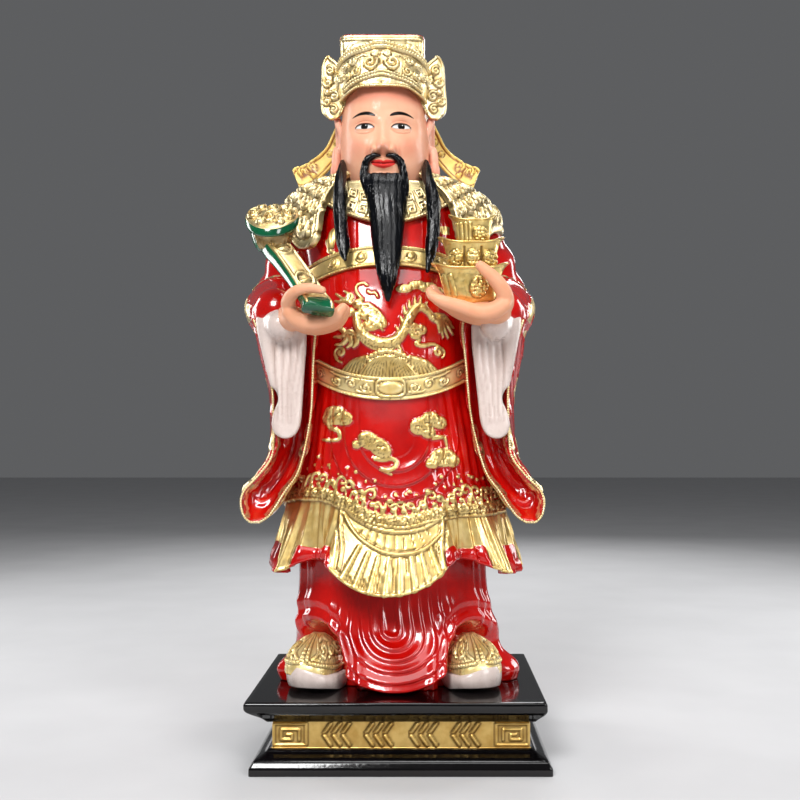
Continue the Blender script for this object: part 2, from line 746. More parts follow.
def coat_points(angle, z):
    """The coat's surface at any height, with its folds and the ruffled hem."""
    x, y = oval(angle, *smooth(OUTER_ROBE)(z))
    hem = hem_height(angle)
    loose = np.clip((0.186 - z) / (0.186 - hem), 0, 1) ** 1.7
    phase = ruffle_phase(angle)
    side = np.sign(angle + math.radians(HEM_TURN))
    radial = 0.0092 * loose * (np.cos(phase) - 0.1) * (1 - 0.55 * ease(58, 82, off_tongue(angle)))
    sideways = np.where(off_tongue(angle) < FIRST_VALLEY, 0.0048, 0.0024) * loose * np.sin(phase) * side
    front = (y < 0) * 1.0
    skirt = 1 - ease(0.235, 0.262, z)
    folds = skirt_folds(x, z) * front * ease(0.160, 0.176, z)
    fine = 0.0005 * np.cos(58 * angle) * ease(0.018, 0.034, np.abs(x)) * skirt * ease(0.178, 0.200, z)
    pleats = 0.0019 * np.cos(15 * angle) * skirt
    pleats = pleats * ease(0.15, 1.0, 1 - np.cos(angle)) * ease(0.150, 0.190, z)
    slant = 95 * (0.175 - z)
    hanging = 0.0040 * (np.abs(np.sin(23 * np.abs(angle) - slant / 2 + 0.5 * np.sin(9 * angle))) - 0.6)
    hanging = hanging + 0.0007 * np.cos(97 * np.abs(angle) - 1.5 * slant)
    hanging = hanging * loose**0.45 * ease(20, 25, off_tongue(angle))
    x, y = pushed(x, y, radial + folds + fine + pleats + hanging)
    heading = np.arctan2(x, -y)
    x, y = x + sideways * np.cos(heading), y + sideways * np.sin(heading)
    return surface(x, y, z)


def coat():
    """The coat's skin. Rows run from inside the hem, round its edge and up the outside to the neck."""
    angle = front_turns(341, 2.4, 1.30)
    hem = hem_height(angle)
    inside = hem + np.linspace(1, 0, 7)[:, None] ** 1.5 * 0.026
    low = hem + np.linspace(0, 1, 56)[:, None] * (0.168 - hem)
    high = spread(0.168, 0.402, 212, lambda z: 0.4 + 1.6 * (z < 0.355))[1:, None] * np.ones_like(angle)
    lining = Skin(coat_points(angle, inside))
    lining = lining.grid + lining.normals() * CLOTH
    outer = coat_points(angle, np.vstack([low, high]))
    skin = Skin(np.vstack([lining, outer]))
    skin.lined = len(lining)
    skin.angle = angle * np.ones_like(skin.u)
    return skin


def cloud(skin, heads, tail=None, tall=0.0013):
    """A bank of small curls with a streaming tail. Heads are ovals: x, z, half sizes and turn, in mm."""
    for x, z, half_x, half_z, turn in heads:
        skin.disc(x * MM, z * MM, half_x * MM, half_z * MM, turn, tall, 0.0009, 0.0023)
    if tail:
        skin.ridge(curve(mm(*tail), 5), (0.0016, 0.0015, 0.0009), 0.0012)


def skirt_clouds(skin):
    cloud(skin, ((-38, 237.5, 8.5, 6.5, -8), (-33, 235.5, 7.5, 5, -6), (-42.5, 235, 5, 5, 0)),
          ((-43, 230.5), (-41, 228.5), (-36.5, 227), (-35.5, 222), (-40, 220.3), (-47.5, 220.7)))
    cloud(skin, ((-15, 220, 8, 6, -25), (-8, 215.5, 9, 6, -38), (-23.5, 217.5, 3.5, 3, 0)),
          ((-11.3, 208), (-6, 207), (-.4, 208), (3.2, 205.5), (1.5, 201.5), (-3, 200.3), (-7.6, 200.7),
           (-.4, 197.1)))
    cloud(skin, ((20, 230, 7.5, 6, 15), (27, 234.5, 6.5, 5.5, 0), (33, 232.5, 5, 4.5, -20),
                 (25.5, 225.5, 5, 4, 0)),
          ((28.6, 222), (32.5, 222.5), (36.4, 222), (37.7, 216)))
    cloud(skin, ((35, 208.5, 9, 6.5, 0), (41, 206.5, 5.5, 4.5, 0), (28.5, 205.5, 6, 4, 22)))
    for x, z in ((-51, 209), (-43.5, 203.5), (-24.5, 199), (-12, 187.5), (33.5, 195.5), (45, 195.5),
                 (55, 195)):
        skin.disc(x * MM, z * MM, 0.0016, 0.0013, 20, 0.0010)
    cloud(skin, ((-37, 364.5, 4, 5, 20), (-40.5, 358.5, 3.5, 4, 0)),
          ((-39, 356), (-41.5, 353), (-37.5, 350.5), (-44, 347)))
    cloud(skin, ((33, 368.5, 4.5, 3.5, 0), (39.5, 367.5, 4, 3.5, 0)), ((33, 364.5), (37, 362.5), (43, 364)))
    for x, z in ((2.5, 183), (12, 185.5), (24.5, 186), (-1.5, 179.5)):
        skin.disc(x * MM, z * MM, 0.0019, 0.0013, -25, 0.0010)


def dragon(skin):
    """A traditional dragon among clouds over a rocky peak, in gilt relief on the belly."""
    body = curve(mm((-22, 306), (-20.5, 297), (-15, 290), (-5, 286), (4, 287.5), (10, 294.5), (14, 303),
                    (17.5, 309), (22, 311), (26.5, 308), (30, 303)), 6)
    skin.ridge(body, (0.0026, 0.0036, 0.0038, 0.0036, 0.0034, 0.0028, 0.0020), 0.0024, grain=0.0008,
               pitch=0.0019)
    belly = curve(mm((-21, 292), (-16, 286), (-8, 281.8), (2, 282.3), (7, 286)), 6)
    skin.ridge(belly, 0.0012, 0.0016, beads=0.0019)
    for x, z, lean in ((10.5, 311, 100), (14, 315, 95), (18, 317.5, 90), (22, 317.5, 80), (26, 314.5, 60),
                       (8, 304, 115), (5, 297, 125)):
        tip = mm((x, z), (x - 4 * math.cos(math.radians(lean)), z - 4.5 * math.sin(math.radians(lean))))
        skin.ridge(tip, (0.0006, 0.0016), 0.0016)
    for end in ((44, 297.5), (43.5, 293), (40, 290.5), (36.5, 290.5), (34, 294)):
        skin.stroke(((29, 304), ((29 + end[0]) / 2 + 1.5, (304 + end[1]) / 2 + 2.5), end),
                   (0.0022, 0.0016, 0.0007), 0.0018)
    skin.stroke(((30, 306), (37, 306), (42, 301.5)), (0.0016, 0.0012, 0.0007), 0.0016)
    cloud(skin, ((-14, 307, 7, 6, -20), (-8, 301, 7.5, 5, -25), (-12, 298, 6, 4, 0),
                 (-20.5, 313, 4, 3.5, 0)), None,
          0.0020)
    for start, bend, end in (((-18, 312), (-13, 312), (-7, 308)), ((-16, 309), (-9, 309), (-3, 303)),
                             ((-14, 305), (-8, 303), (-2, 298)), ((-13, 302), (-8, 299), (-4, 294.5))):
        skin.stroke((start, bend, end), (0.0013, 0.0015, 0.0007), 0.0030)
    skin.disc(-0.0215, 0.3140, 0.0020, 0.0018, 0, 0.0034)
    skin.ridge(curve(mm((-17.5, 316), (-21.5, 321), (-21.5, 326), (-17, 328), (-14, 326)), 7),
               (0.0011, 0.0007), 0.0013)
    skin.stroke(((-14, 322), (-11.5, 320.5), (-9, 321), (-7, 317.5)), (0.0009, 0.0006), 0.0012)
    skin.stroke(((-29.5, 307), (-25.5, 309), (-22.5, 305)), (0.0020, 0.0014), 0.0017)
    skin.ridge(curl(-0.0270, 0.3060, 0.0026, 200, -330), (0.0011, 0.0007), 0.0019)
    for line in (((-21, 291.5), (-27, 294), (-31, 291), (-37.5, 291)),
                 ((-29, 292.5), (-33, 296.5), (-38, 297)),
                 ((-28, 291), (-31, 286.5), (-36.5, 285.5)), ((-26, 290), (-25.5, 286), (-28.5, 283.5)),
                 ((-22, 290), (-22, 286), (-24, 283.5))):
        skin.stroke(line, (0.0022, 0.0017, 0.0008), 0.0018, grain=0.0004)
    for line in (((-26, 314), (-31, 317), (-36, 321)), ((-28, 317), (-27.5, 320), (-30, 322.5)),
                 ((-29, 316), (-33, 315), (-37, 316)), ((-26, 316), (-24.5, 318.5), (-26.5, 321))):
        skin.stroke(line, (0.0015, 0.0013, 0.0007), 0.0015)
    skin.ridge(curve(mm((3, 287), (6, 284), (8.5, 279.5), (10.5, 277)), 5), (0.0020, 0.0014, 0.0009),
               0.0017)
    cloud(skin, ((16, 296, 4.5, 4.2, 0), (21.5, 295, 4, 3.6, 0), (18, 291.5, 4, 3, 0)),
          ((20.5, 288.5), (18.5, 285.5), (23.5, 284.5), (29, 285.8), (33.5, 284.5)))
    for side in (-1, 1):
        swirl = curl(side * 0.0335, 0.2805, 0.0042, 90 - 150 * side, 470 * side, 0.16, 40)
        skin.ridge(swirl, (0.0007, 0.0012, 0.0011), 0.0013)
    skin.stroke(((-37.3, 279), (-36, 275.5), (-32.5, 273.5)), (0.0011, 0.0007), 0.0012)
    cloud(skin, ((11, 323.5, 6, 3, 5), (19, 326.5, 6, 3.2, 10), (27, 325, 6.5, 4, 0),
                 (33.5, 322.5, 4, 3.5, 0)))


def peaks(skin):
    """Three fans of ridged rock above the belt."""
    u = skin.u
    skin.u = np.where(skin.v > 0.2570, u, FAR)
    for x, left, right, top, foot, ribs, tall in ((-15, -38, -4, 277.5, 260, 11, 0.0015),
                                                  (14, 2, 38, 277.5, 260, 11, 0.0015),
                                                  (-1, -26, 23, 277, 256, 17, 0.0022)):
        for t in np.linspace(0, 1, ribs):
            end = left + (right - left) * t
            line = mm((x, top), (x + 0.50 * (end - x), top - 4.5), (end, foot))
            skin.ridge(curve(line, 5), (0.0006, 0.0012, 0.0013), tall)
            skin.groove(curve(line, 5) + (0.0011, 0), 0.0004, 0.0003)
    for number, t in enumerate(np.linspace(-1, 1, 11)):
        skin.disc((-1 + 14 * t) * MM, (280.5 - 4.5 * t * t) * MM, 0.0017, 0.0015, 0, 0.0022, 0.0006)
        skin.ridge(curl((-1 + 12 * t) * MM, (278 - 4 * t * t) * MM, 0.0014, 90, 300 * (-1) ** number, 0.4,
                        14), 0.0006, 0.0026)
    skin.u = u


def crest(skin, u, v, tall, way, radius=0.0010):
    """A wave that rises and curls over to one side."""
    reach = 0.27 * tall
    roll = curl(u + way * reach * 0.3, v + tall - reach, reach, 180 if way > 0 else 0, -310 * way, 0.35)
    stem = [[u - way * reach * 1.5, v - 0.002], [u - way * reach * 0.95, v + 0.45 * tall]]
    skin.ridge(np.vstack([stem, roll]), (radius * 0.8, radius * 1.25, radius, radius * 0.8), 0.0019)


def waves(skin):
    """The breaking waves round the top of the hem, over a thick band of foam."""
    line = smooth(WAVE_LINE)
    edge = line(skin.u)[0]
    skin.gilt = np.maximum(skin.gilt, np.minimum(edge - skin.v, 0.003))
    wide = np.arange(-0.236, 0.2361, 0.004)
    foam = np.column_stack([wide, line(wide)[0]])
    for drop, size, beads in ((0.0006, 0.0013, 0.0026), (-0.0018, 0.0014, 0.0029),
                              (-0.0042, 0.0012, 0.0023),
                              (-0.0064, 0.0011, 0.0027)):
        skin.ridge(foam + (0, drop), size, 0.0019, beads=beads)
    for i, u in enumerate(np.arange(-0.234, 0.2341, 0.0068)):
        jitter = scatter(i, 3, 2)
        way = -1 if i % 3 == 0 else 1
        v = float(line(u)[0])
        tall = 0.0085 + 0.0070 * scatter(i, 1, 4) * (1 if abs(u) > 0.012 else 0.5)
        crest(skin, u + 0.002 * jitter, v, tall, way)
        crest(skin, u + 0.0035, v, 0.0052 + 0.0016 * jitter, -way, 0.0008)
        skin.ridge(curl(u + 0.001, v - 0.0020, 0.0019, 90, 380, 0.3), (0.0008, 0.0006), 0.0028)
        skin.disc(u + 0.0050, v + tall + 0.0035 + 0.003 * jitter, 0.0010, 0.0013, 0, 0.0010)


def apron(skin):
    """The fan-shaped tongue in the middle of the hem and its pleats."""
    upper = curve(mm((-36, 178), (-27, 169), (-13, 161.5), (3.5, 158.5), (19, 160.5), (30, 166),
                     (36, 172)), 6)
    lower = curve(mm((-33, 171), (-29, 163), (-21.3, 153.9), (-7.6, 146), (6, 143.9), (20, 147),
                     (31, 156), (35, 166)), 6)
    for line, tall in ((upper, 0.0012), (lower, 0.0014)):
        skin.ridge(line, 0.0013, tall)
        skin.groove(line + (0, 0.0017), 0.0008, 0.0007)
        skin.groove(line - (0, 0.0018), 0.0007, 0.0004)
    for number, turn in enumerate(np.linspace(-0.50, 0.50, 17)):
        s, c = math.sin(turn), math.cos(turn)
        arc = 20 * c + math.sqrt(36**2 - (20 * s) ** 2)
        foot = (82 - 15 * (turn / 0.50) ** 2) / c
        inner, outer = mm((1 + (arc + 3) * s, 200 - (arc + 3) * c), (foot * s - 1, 200 - foot * c))
        if number % 2:
            skin.ridge((inner, outer), (0.0012, 0.0022), 0.0009)
        else:
            skin.groove((inner, outer), (0.0006, 0.0009), 0.0010)
            skin.groove(mm((1 + (arc - 13) * s, 200 - (arc - 13) * c),
                           (1 + (arc - 3) * s, 200 - (arc - 3) * c)),
                        0.0006, 0.0007)
    for side in (-1, 1):
        edge = curve(mm((side * 34 - 1, 174), (side * 34.5 - 1, 160), (side * 33.5 - 1, 148),
                        (side * 35.5 - 1, 135)), 6)
        skin.ridge(edge, (0.0010, 0.0015, 0.0014), 0.0018)
        skin.groove(edge + (side * 0.0024, 0), 0.0012, 0.0014)


def coat_pieces():
    skin = coat()
    front = (skin.grid[..., 1] < 0) & (np.arange(len(skin.u))[:, None] >= skin.lined)
    skin.u = np.where(front, skin.grid[..., 0], FAR)
    dragon(skin)
    peaks(skin)
    skirt_clouds(skin)
    apron(skin)
    outside = np.arange(len(skin.u))[:, None] >= skin.lined
    skin.u = np.where(outside, robe_way(skin.angle), FAR)
    waves(skin)
    skin.gilt[: skin.lined] = -0.005
    rim, lip = hem_height(skin.angle), lining_lip(skin.angle)
    above = skin.grid[..., 2] - rim
    skin.gilt = np.where(outside & (lip > 0.0005), np.minimum(skin.gilt, above - lip), skin.gilt)
    skin.height += outside * 0.0006 * bell(above - 0.0008, 0.0010)
    roll = np.sin(math.pi * np.clip(above / np.maximum(lip, 0.0001), 0, 1))
    skin.height += outside * 0.0016 * roll * ease(0.001, 0.005, lip)
    seam = int(np.argmin(np.abs(skin.grid[:, 0, 2] - 0.275) + (np.arange(len(skin.grid)) < skin.lined)))
    skin.rows(0, seam + 1).build("coat_skirt", ROBE, "red_enamel", replaces=("figure",))
    skin.rows(seam, len(skin.grid)).build("coat_body", ROBE, "red_enamel")


coat_pieces()


# The bands round the coat


def belt_height(angle):
    return 0.2780 - 0.0228 * np.clip(np.cos(angle), 0, 1) ** 2


def chest_band_height(angle):
    return 0.3310 + 0.0165 * np.clip(np.cos(angle), 0, 1) ** 2


def band(height, tall, proud, rows):
    """A band round the coat whose edges turn in to the cloth. v is the level across it, in metres."""
    angle = front_turns(341, 2.5, 1.30)
    level = np.concatenate([[-1.0], np.linspace(-1, 1, rows), [1.0]])[:, None]
    stand = proud * (1 - 0.3 * level**4)
    stand[[0, -1]] = -0.0012
    z = height(angle) + level * tall / 2
    x, y = pushed(*oval(angle, *smooth(OUTER_ROBE)(z)), stand)
    skin = Skin(surface(x, y, z))
    skin.u = np.where(skin.grid[..., 1] < 0, skin.grid[..., 0], FAR)
    skin.v = level * tall / 2 * np.ones_like(skin.u)
    skin.gilt[:] = 0.002
    skin.way = robe_way(angle) * np.ones_like(skin.u)
    return skin


def beaded_edges(skin, tall, spacing, radius=0.0010):
    wide = np.arange(-0.25, 0.2501, 0.01)
    u, skin.u = skin.u, skin.way
    for side in (-1, 1):
        line = np.column_stack([wide, np.full(len(wide), side * (tall / 2 - radius))])
        skin.ridge(line, radius, 0.0014, beads=spacing)
        skin.groove(line - (0, side * radius * 1.6), 0.0006, 0.0004)
    skin.u = u


def belt():
    tall = 0.0157
    skin = band(belt_height, tall, 0.0024, 26)
    beaded_edges(skin, tall, 0.0021)
    skin.disc(0.0005, 0.0004, 0.0086, 0.0046, 0, 0.0022)
    frame = np.array([(0.0005 + 0.0096 * power(math.cos(a), 0.5), 0.0004 + 0.0055 * power(math.sin(a), 0.5))
                      for a in np.linspace(0, 2 * math.pi, 49)])
    skin.ridge(frame, 0.0009, 0.0016)
    for side in (-1, 1):
        for x, turn in ((0.0265, 1), (0.0365, -1), (0.0165, -1)):
            skin.ridge(curl(side * x, 0.0005 * turn, 0.0032, 90 - 90 * side, 400 * turn * side, 0.2, 34),
                       (0.0005, 0.0009, 0.0009), 0.0011)
        skin.ridge(curve([(side * 0.0130, -0.0030), (side * 0.0170, -0.0040), (side * 0.0230, -0.0035)], 6),
                   0.0007, 0.0009)
        skin.ridge(curve([(side * 0.0290, 0.0040), (side * 0.0340, 0.0035), (side * 0.0410, 0.0045)], 6),
                   0.0007, 0.0009)
    skin.u = skin.way
    for i in range(-9, 10):
        if abs(i) > 3:
            skin.ridge(curl(i * 0.0150, 0, 0.0034, 0, 420 * (-1) ** i, 0.2, 34), (0.0005, 0.0009), 0.0010)
    skin.build("belt", SATIN, "red_enamel")


belt()


# The under skirt and its U folds between the shoes


def lower_robe():
    angle = front_turns(251, 2.4, 1.40)
    z = spread(0.0483, 0.1550, 88, lambda h: 1 + 1.4 * (h < 0.108))[:, None] * np.ones_like(angle)
    x, y = oval(angle, *smooth(LOWER_ROBE)(z))
    front = ease(0.004, -0.012, y)
    across = np.abs(x)
    middle = 1 - ease(0.030, 0.044, across)
    ring = np.hypot((x + 0.001) / (1 + 0.10 * ease(0.09, 0.05, z)), np.minimum(z - 0.0905, 0))
    fold = np.mod((ring - 0.0010) / 0.0070, 1)
    swell = fold**1.2 * (1 - ease(0.66, 1.0, fold))
    folds = 0.0032 * swell * ease(0.002, 0.006, ring) * (1 - ease(0.0395, 0.0430, ring)) * front
    folds = folds * (1 - 0.80 * ease(0.088, 0.118, z))
    x = x - 0.0034 * ease(0.070, 0.112, z)
    fall = 0.0085 * middle * front * (1 - ease(0.050, 0.102, z)) * (1 - (x / 0.06) ** 2)
    opening = np.hypot((across - 0.0540) / 0.0225, np.maximum(z - 0.0520, 0) / 0.0385)
    recess = 0.0190 * ease(1.10, 0.80, opening) * front
    corner = 0.0150 * ease(0.0395, 0.0455, ring) * ease(0.080, 0.068, z)
    corner = corner * ease(0.056, 0.046, across) * front
    recess = np.maximum(recess, corner)
    roll = 0.0030 * bell(opening - 1.17, 0.10) * front + 0.0020 * bell(opening - 1.45, 0.12) * front
    side = ease(0.1, 0.9, 1 - np.cos(angle))
    pleats = (0.0022 * np.cos(13 * angle) + 0.0010 * np.cos(29 * angle + 1)) * side
    flare = 0.0040 * bell(z - 0.0600, 0.014) * bell(degrees_off_front(angle) - 72, 16)
    x, y = pushed(x, y, folds + fall - recess + roll + pleats + flare)
    skin = Skin(surface(x, y, z))
    skin.build("under_skirt", ENAMEL, "red_enamel", closed=(True, True))


lower_robe()


# The stand


PLINTH_PROFILE = (
    (0.0000, 0.0000), (0.0050, 0.0000), (0.0064, 0.0012), (0.0080, 0.0016), (0.0098, 0.0034),
    (0.0128, 0.0096), (0.0148, 0.0112), (0.0150, 0.0138), (0.0331, 0.0138), (0.0333, 0.0100),
    (0.0360, 0.0074), (0.0392, 0.0030), (0.0415, 0.0006), (0.0428, 0.0000), (0.0472, 0.0000),
    (0.0480, 0.0008),
)
# The stand's foot sits this far to the right of its top plate.
PLINTH_SHIFT = 0.0034


def rounded_rectangle(half_x, half_y, radius, front, other):
    """Corners are round. The front side has the most points, from its left end to its right."""
    points = []
    corners = ((-1, -1), (1, -1), (1, 1), (-1, 1))
    for side, (a, b) in enumerate(corners):
        start = math.pi * (1 + side / 2)
        for t in np.linspace(0, 1, 7)[:-1]:
            bend = start + t * math.pi / 2
            points.append((a * (half_x - radius) + radius * math.cos(bend),
                           b * (half_y - radius) + radius * math.sin(bend)))
        c, d = corners[(side + 1) % 4]
        count = front if side == 0 else other
        bend = start + math.pi / 2
        first = (a * (half_x - radius) + radius * math.cos(bend),
                 b * (half_y - radius) + radius * math.sin(bend))
        last = (c * (half_x - radius) + radius * math.cos(bend),
                d * (half_y - radius) + radius * math.sin(bend))
        for t in np.linspace(0, 1, count + 1)[:-1]:
            points.append((first[0] + t * (last[0] - first[0]), first[1] + t * (last[1] - first[1])))
    return np.array(points)


def fret(skin, x, z, size, way):
    """A square key pattern."""
    outline = np.array([(-1, -1), (-1, 1), (1, 1), (1, -1), (-1, -1)]) * (size / 2, 0.0070) + (x, z)
    inner = [(-0.56, -0.56), (-0.56, 0.46), (0.56, 0.46), (0.56, -0.50), (-0.10, -0.50), (-0.10, -0.02),
             (0.20, -0.02)]
    inner = np.array(inner) * (way * size / 2, 0.0070) + (x, z)
    for line in (outline, inner):
        skin.groove(line, 0.0017, 0.0008)
    for line in (outline, inner):
        skin.ridge(line, 0.0009, 0.0012)


def stand():
    half_x, half_y = PLINTH_HIGH.x, PLINTH_HIGH.y
    heights, insets = np.array(PLINTH_PROFILE).T
    band_low, band_high = 0.0150, 0.0331
    fine = np.concatenate([np.linspace(0, 0.0148, 16), np.linspace(band_low, band_high, 30),
                           np.linspace(0.0333, 0.0480, 16)])
    inset = np.interp(fine, heights, insets)
    softened = (np.roll(inset, 1) + np.roll(inset, -1) + 2 * inset) / 4
    moulding = (fine < band_low - 0.001) | (fine > 0.034)
    inset = np.where(moulding, softened, inset)
    inset[[0, -1]] = insets[[0, -1]]
    rings = []
    for z, shrink in zip(fine, inset):
        ring = rounded_rectangle(half_x - shrink, half_y - shrink, 0.0016, 240, 14)
        wobble = 0.00025 * np.sin(46 * ring[:, 0] + 260 * z)
        wobble = wobble + 0.0002 * np.sin(130 * ring[:, 0] + 31 * ring[:, 1])
        wobble = wobble * (z > 0.036)
        ring = ring * (1 + wobble[:, None] * 4) + (PLINTH_SHIFT * ease(0.044, 0.035, z), 0)
        rings.append(np.column_stack([ring, np.full(len(ring), z)]))
    for t in np.linspace(0.97, 0.06, 5):
        ring = rounded_rectangle((half_x - insets[-1]) * t, (half_y - insets[-1]) * t, 0.0016 * t, 240, 14)
        rings.append(np.column_stack([ring, np.full(len(ring), PLINTH_TOP)]))
    skin = Skin(rings)
    front = skin.grid[..., 1] < -half_y + 0.0165
    in_band = front & (skin.v > band_low - 0.0001) & (skin.v < band_high + 0.0001)
    skin.u = np.where(in_band, skin.grid[..., 0] - PLINTH_SHIFT, FAR)
    skin.gilt[in_band] = 0.002
    middle = (band_low + band_high) / 2
    for side in (-1, 1):
        fret(skin, side * 0.0742, middle, 0.0215, side)
    for x in (-0.0430, -0.0150, 0.0150, 0.0430):
        for row, lean in ((0.0040, 1), (-0.0040, -1)):
            for step in (-1, 0, 1):
                u = x + step * 0.0062
                stroke = np.array([(u - 0.0021, -0.0030 * lean), (u + 0.0021, 0.0030 * lean)])
                stroke = stroke + (0, middle + row)
                skin.groove(stroke, 0.0024, 0.0013)
                skin.ridge(stroke, 0.0013, 0.0015)
    made = skin.build("stand", LACQUER, "black_lacquer", closed=(True, True), replaces=("plinth",))
    upright(made)


def upright(made):
    """The stand doesn't share the casting's lean."""
    for vertex in made.data.vertices:
        vertex.co.x -= LEAN * (vertex.co.z - PLINTH_TOP)


stand()


# Arms and hanging sleeves


# One hanging sleeve: height, inner rim, outer rim, widest outer side, front, back, depth of its mouth.
SLEEVE = (
    (0.1640, 0.0915, 0.0955, 0.0960, -0.0600, -0.0200, 0.0000),
    (0.1680, 0.0850, 0.1000, 0.1005, -0.0600, -0.0080, 0.0050),
    (0.1740, 0.0800, 0.1024, 0.1026, -0.0598, 0.0010, 0.0110),
    (0.1850, 0.0730, 0.1014, 0.1030, -0.0585, 0.0090, 0.0160),
    (0.1960, 0.0650, 0.0915, 0.1010, -0.0572, 0.0150, 0.0180),
    (0.2080, 0.0605, 0.0825, 0.0955, -0.0563, 0.0200, 0.0180),
    (0.2200, 0.0575, 0.0804, 0.0930, -0.0560, 0.0240, 0.0170),
    (0.2400, 0.0538, 0.0800, 0.0920, -0.0575, 0.0280, 0.0150),
    (0.2550, 0.0525, 0.0802, 0.0935, -0.0592, 0.0300, 0.0130),
    (0.2700, 0.0515, 0.0825, 0.0985, -0.0610, 0.0325, 0.0120),
    (0.2820, 0.0505, 0.0855, 0.1015, -0.0620, 0.0340, 0.0100),
    (0.2950, 0.0495, 0.0890, 0.1020, -0.0620, 0.0345, 0.0080),
    (0.3100, 0.0530, 0.0930, 0.1050, -0.0600, 0.0340, 0.0040),
    (0.3220, 0.0620, 0.0880, 0.1000, -0.0520, 0.0300, 0.0000),
)


def sleeve(side):
    """A hanging sleeve. Its mouth faces the front and is scooped out behind the rim."""
    z = spread(SLEEVE[0][0], SLEEVE[-1][0], 110, lambda h: 1 + 3 * (h < 0.175))[:, None]
    inner, outer, widest, front, back, hollow = smooth(SLEEVE)(z)
    across = np.linspace(-1, 1, 44)[None, :]
    around = np.linspace(0, math.pi, 92)[None, 1:-1]
    mouth_x = (inner + outer) / 2 + (outer - inner) / 2 * across
    mouth_y = front + hollow * np.clip(1 - (across / 0.90) ** 4, 0, 1)
    bulge = (widest - outer) * np.sin(around) ** 0.7 * (np.cos(around) > -0.2)
    bulge = bulge * ease(-0.2, 0.3, np.cos(around))
    wall_x = (inner + outer) / 2 + (outer - inner) / 2 * power(np.cos(around), 0.6) + bulge
    wall_y = front + (back - front) * np.abs(np.sin(around)) ** 0.8
    x = side * np.concatenate(np.broadcast_arrays(mouth_x) + np.broadcast_arrays(wall_x), 1)
    y = np.concatenate([mouth_y, wall_y], 1)
    return surface(x, y, z)


def arm(side):
    upper = [(0.0500, 0.0040, 0.3830), (0.0650, 0.0060, 0.3560), (0.0775, 0.0070, 0.3260)]
    fore = [(0.0775, 0.0070, 0.3180), (0.0790, -0.0280, 0.3130), (0.0755, -0.0545, 0.3075)]
    return [tube(mirrored(side, upper), (0.0240, 0.0238, 0.0225), 40),
            tube(mirrored(side, fore), (0.0238, 0.0220, 0.0175), 40)]


def sleeve_folds(skin, side):
    """Long folds in the lining, and folds that fall from the elbow round the outside."""
    across = side * skin.grid[:, 0]
    lining = (skin.facing[:, 1] < -0.25) & (skin.grid[:, 1] < -0.030)
    skin.u, skin.v = np.where(lining, across, FAR), skin.grid[:, 2]
    for shift, foot in ((0.0, 0.0), (0.0060, 0.0075)):
        left = mm((63, 262), (63.5, 240), (65, 220), (70, 203), (78, 189), (88, 177.5))
        left = left + (shift, foot * 0.4)
        right = mm((94, 179), (93, 190), (87, 202), (80, 214), (76.5, 228), (75.5, 245)) - (shift * 0.8, 0)
        skin.ridge(curve(np.vstack([left, right]), 6), (0.0010, 0.0024, 0.0022, 0.0010), 0.0016, gilt=False)
    outside = ~lining
    bend = np.arctan2(across - 0.0720, -(skin.grid[:, 1] + 0.0150))
    drop = np.hypot((bend - 1.9) * 0.030, np.minimum(skin.grid[:, 2] - 0.3120, 0) * 0.72)
    wave = np.mod(drop / 0.0125, 1)
    hang = wave**1.4 * (1 - ease(0.78, 1.0, wave)) * ease(0.006, 0.020, drop)
    below = 1 - ease(0.318, 0.338, skin.grid[:, 2])
    skin.height += 0.0026 * hang * outside * below * ease(0.166, 0.185, skin.grid[:, 2])
    rings = np.cos(2 * math.pi * (skin.grid[:, 2] * 0.8 - skin.grid[:, 1] * 0.5 + 0.35 * across) / 0.0150)
    level = skin.grid[:, 2]
    skin.height += 0.0011 * rings * outside * ease(0.316, 0.330, level) * (1 - ease(0.380, 0.395, level))


def sleeve_gilding(skin, side):
    across = side * skin.grid[:, 0]
    front = smooth(SLEEVE)(skin.grid[:, 2])[3]
    behind = skin.grid[:, 1] - front
    trim = (skin.facing[:, 1] > -0.55) & (behind < 0.0075) & (skin.grid[:, 2] < 0.232)
    skin.gilt[trim] = np.minimum(0.0075 - behind[trim], 0.002)
    skin.height[trim] += 0.0006 * pebbles(skin.grid[trim, 0] + skin.grid[trim, 1], skin.grid[trim, 2],
                                          0.0026)
    bend = np.arctan2(across - 0.0720, -(skin.grid[:, 1] + 0.0150))
    skin.u = np.where(across > 0.078, bend * 0.030, FAR)
    skin.v = skin.grid[:, 2]
    cloud(skin, ((26, 312, 7, 5, 20), (33, 316, 7, 5.5, 0), (40, 311, 6, 4.5, -20), (21, 306, 4, 4, 0)),
          ((24, 303), (27, 299), (23, 296), (27, 292)))
    cloud(skin, ((52, 300, 8, 5.5, 10), (61, 303, 7, 5, -10)), ((55, 294), (60, 291), (55, 287), (60, 283)))
    cloud(skin, ((36, 262, 7, 5, 0), (43, 259, 6, 5, -20), (30, 258, 4, 3.5, 0)),
          ((33, 254), (37, 251), (33, 247), (37, 243)))
    cloud(skin, ((66, 250, 8, 5.5, 15), (74, 254, 7, 5, 0)), ((68, 244), (73, 241), (68, 237)))
    cloud(skin, ((30, 341, 5, 7, 15), (36, 346, 6, 5, 0)), ((30, 333), (33, 330), (30, 326.5)))
    cloud(skin, ((48, 214, 8, 5.5, 0), (57, 218, 7, 5, 20)), ((50, 208), (55, 205), (50, 201)))


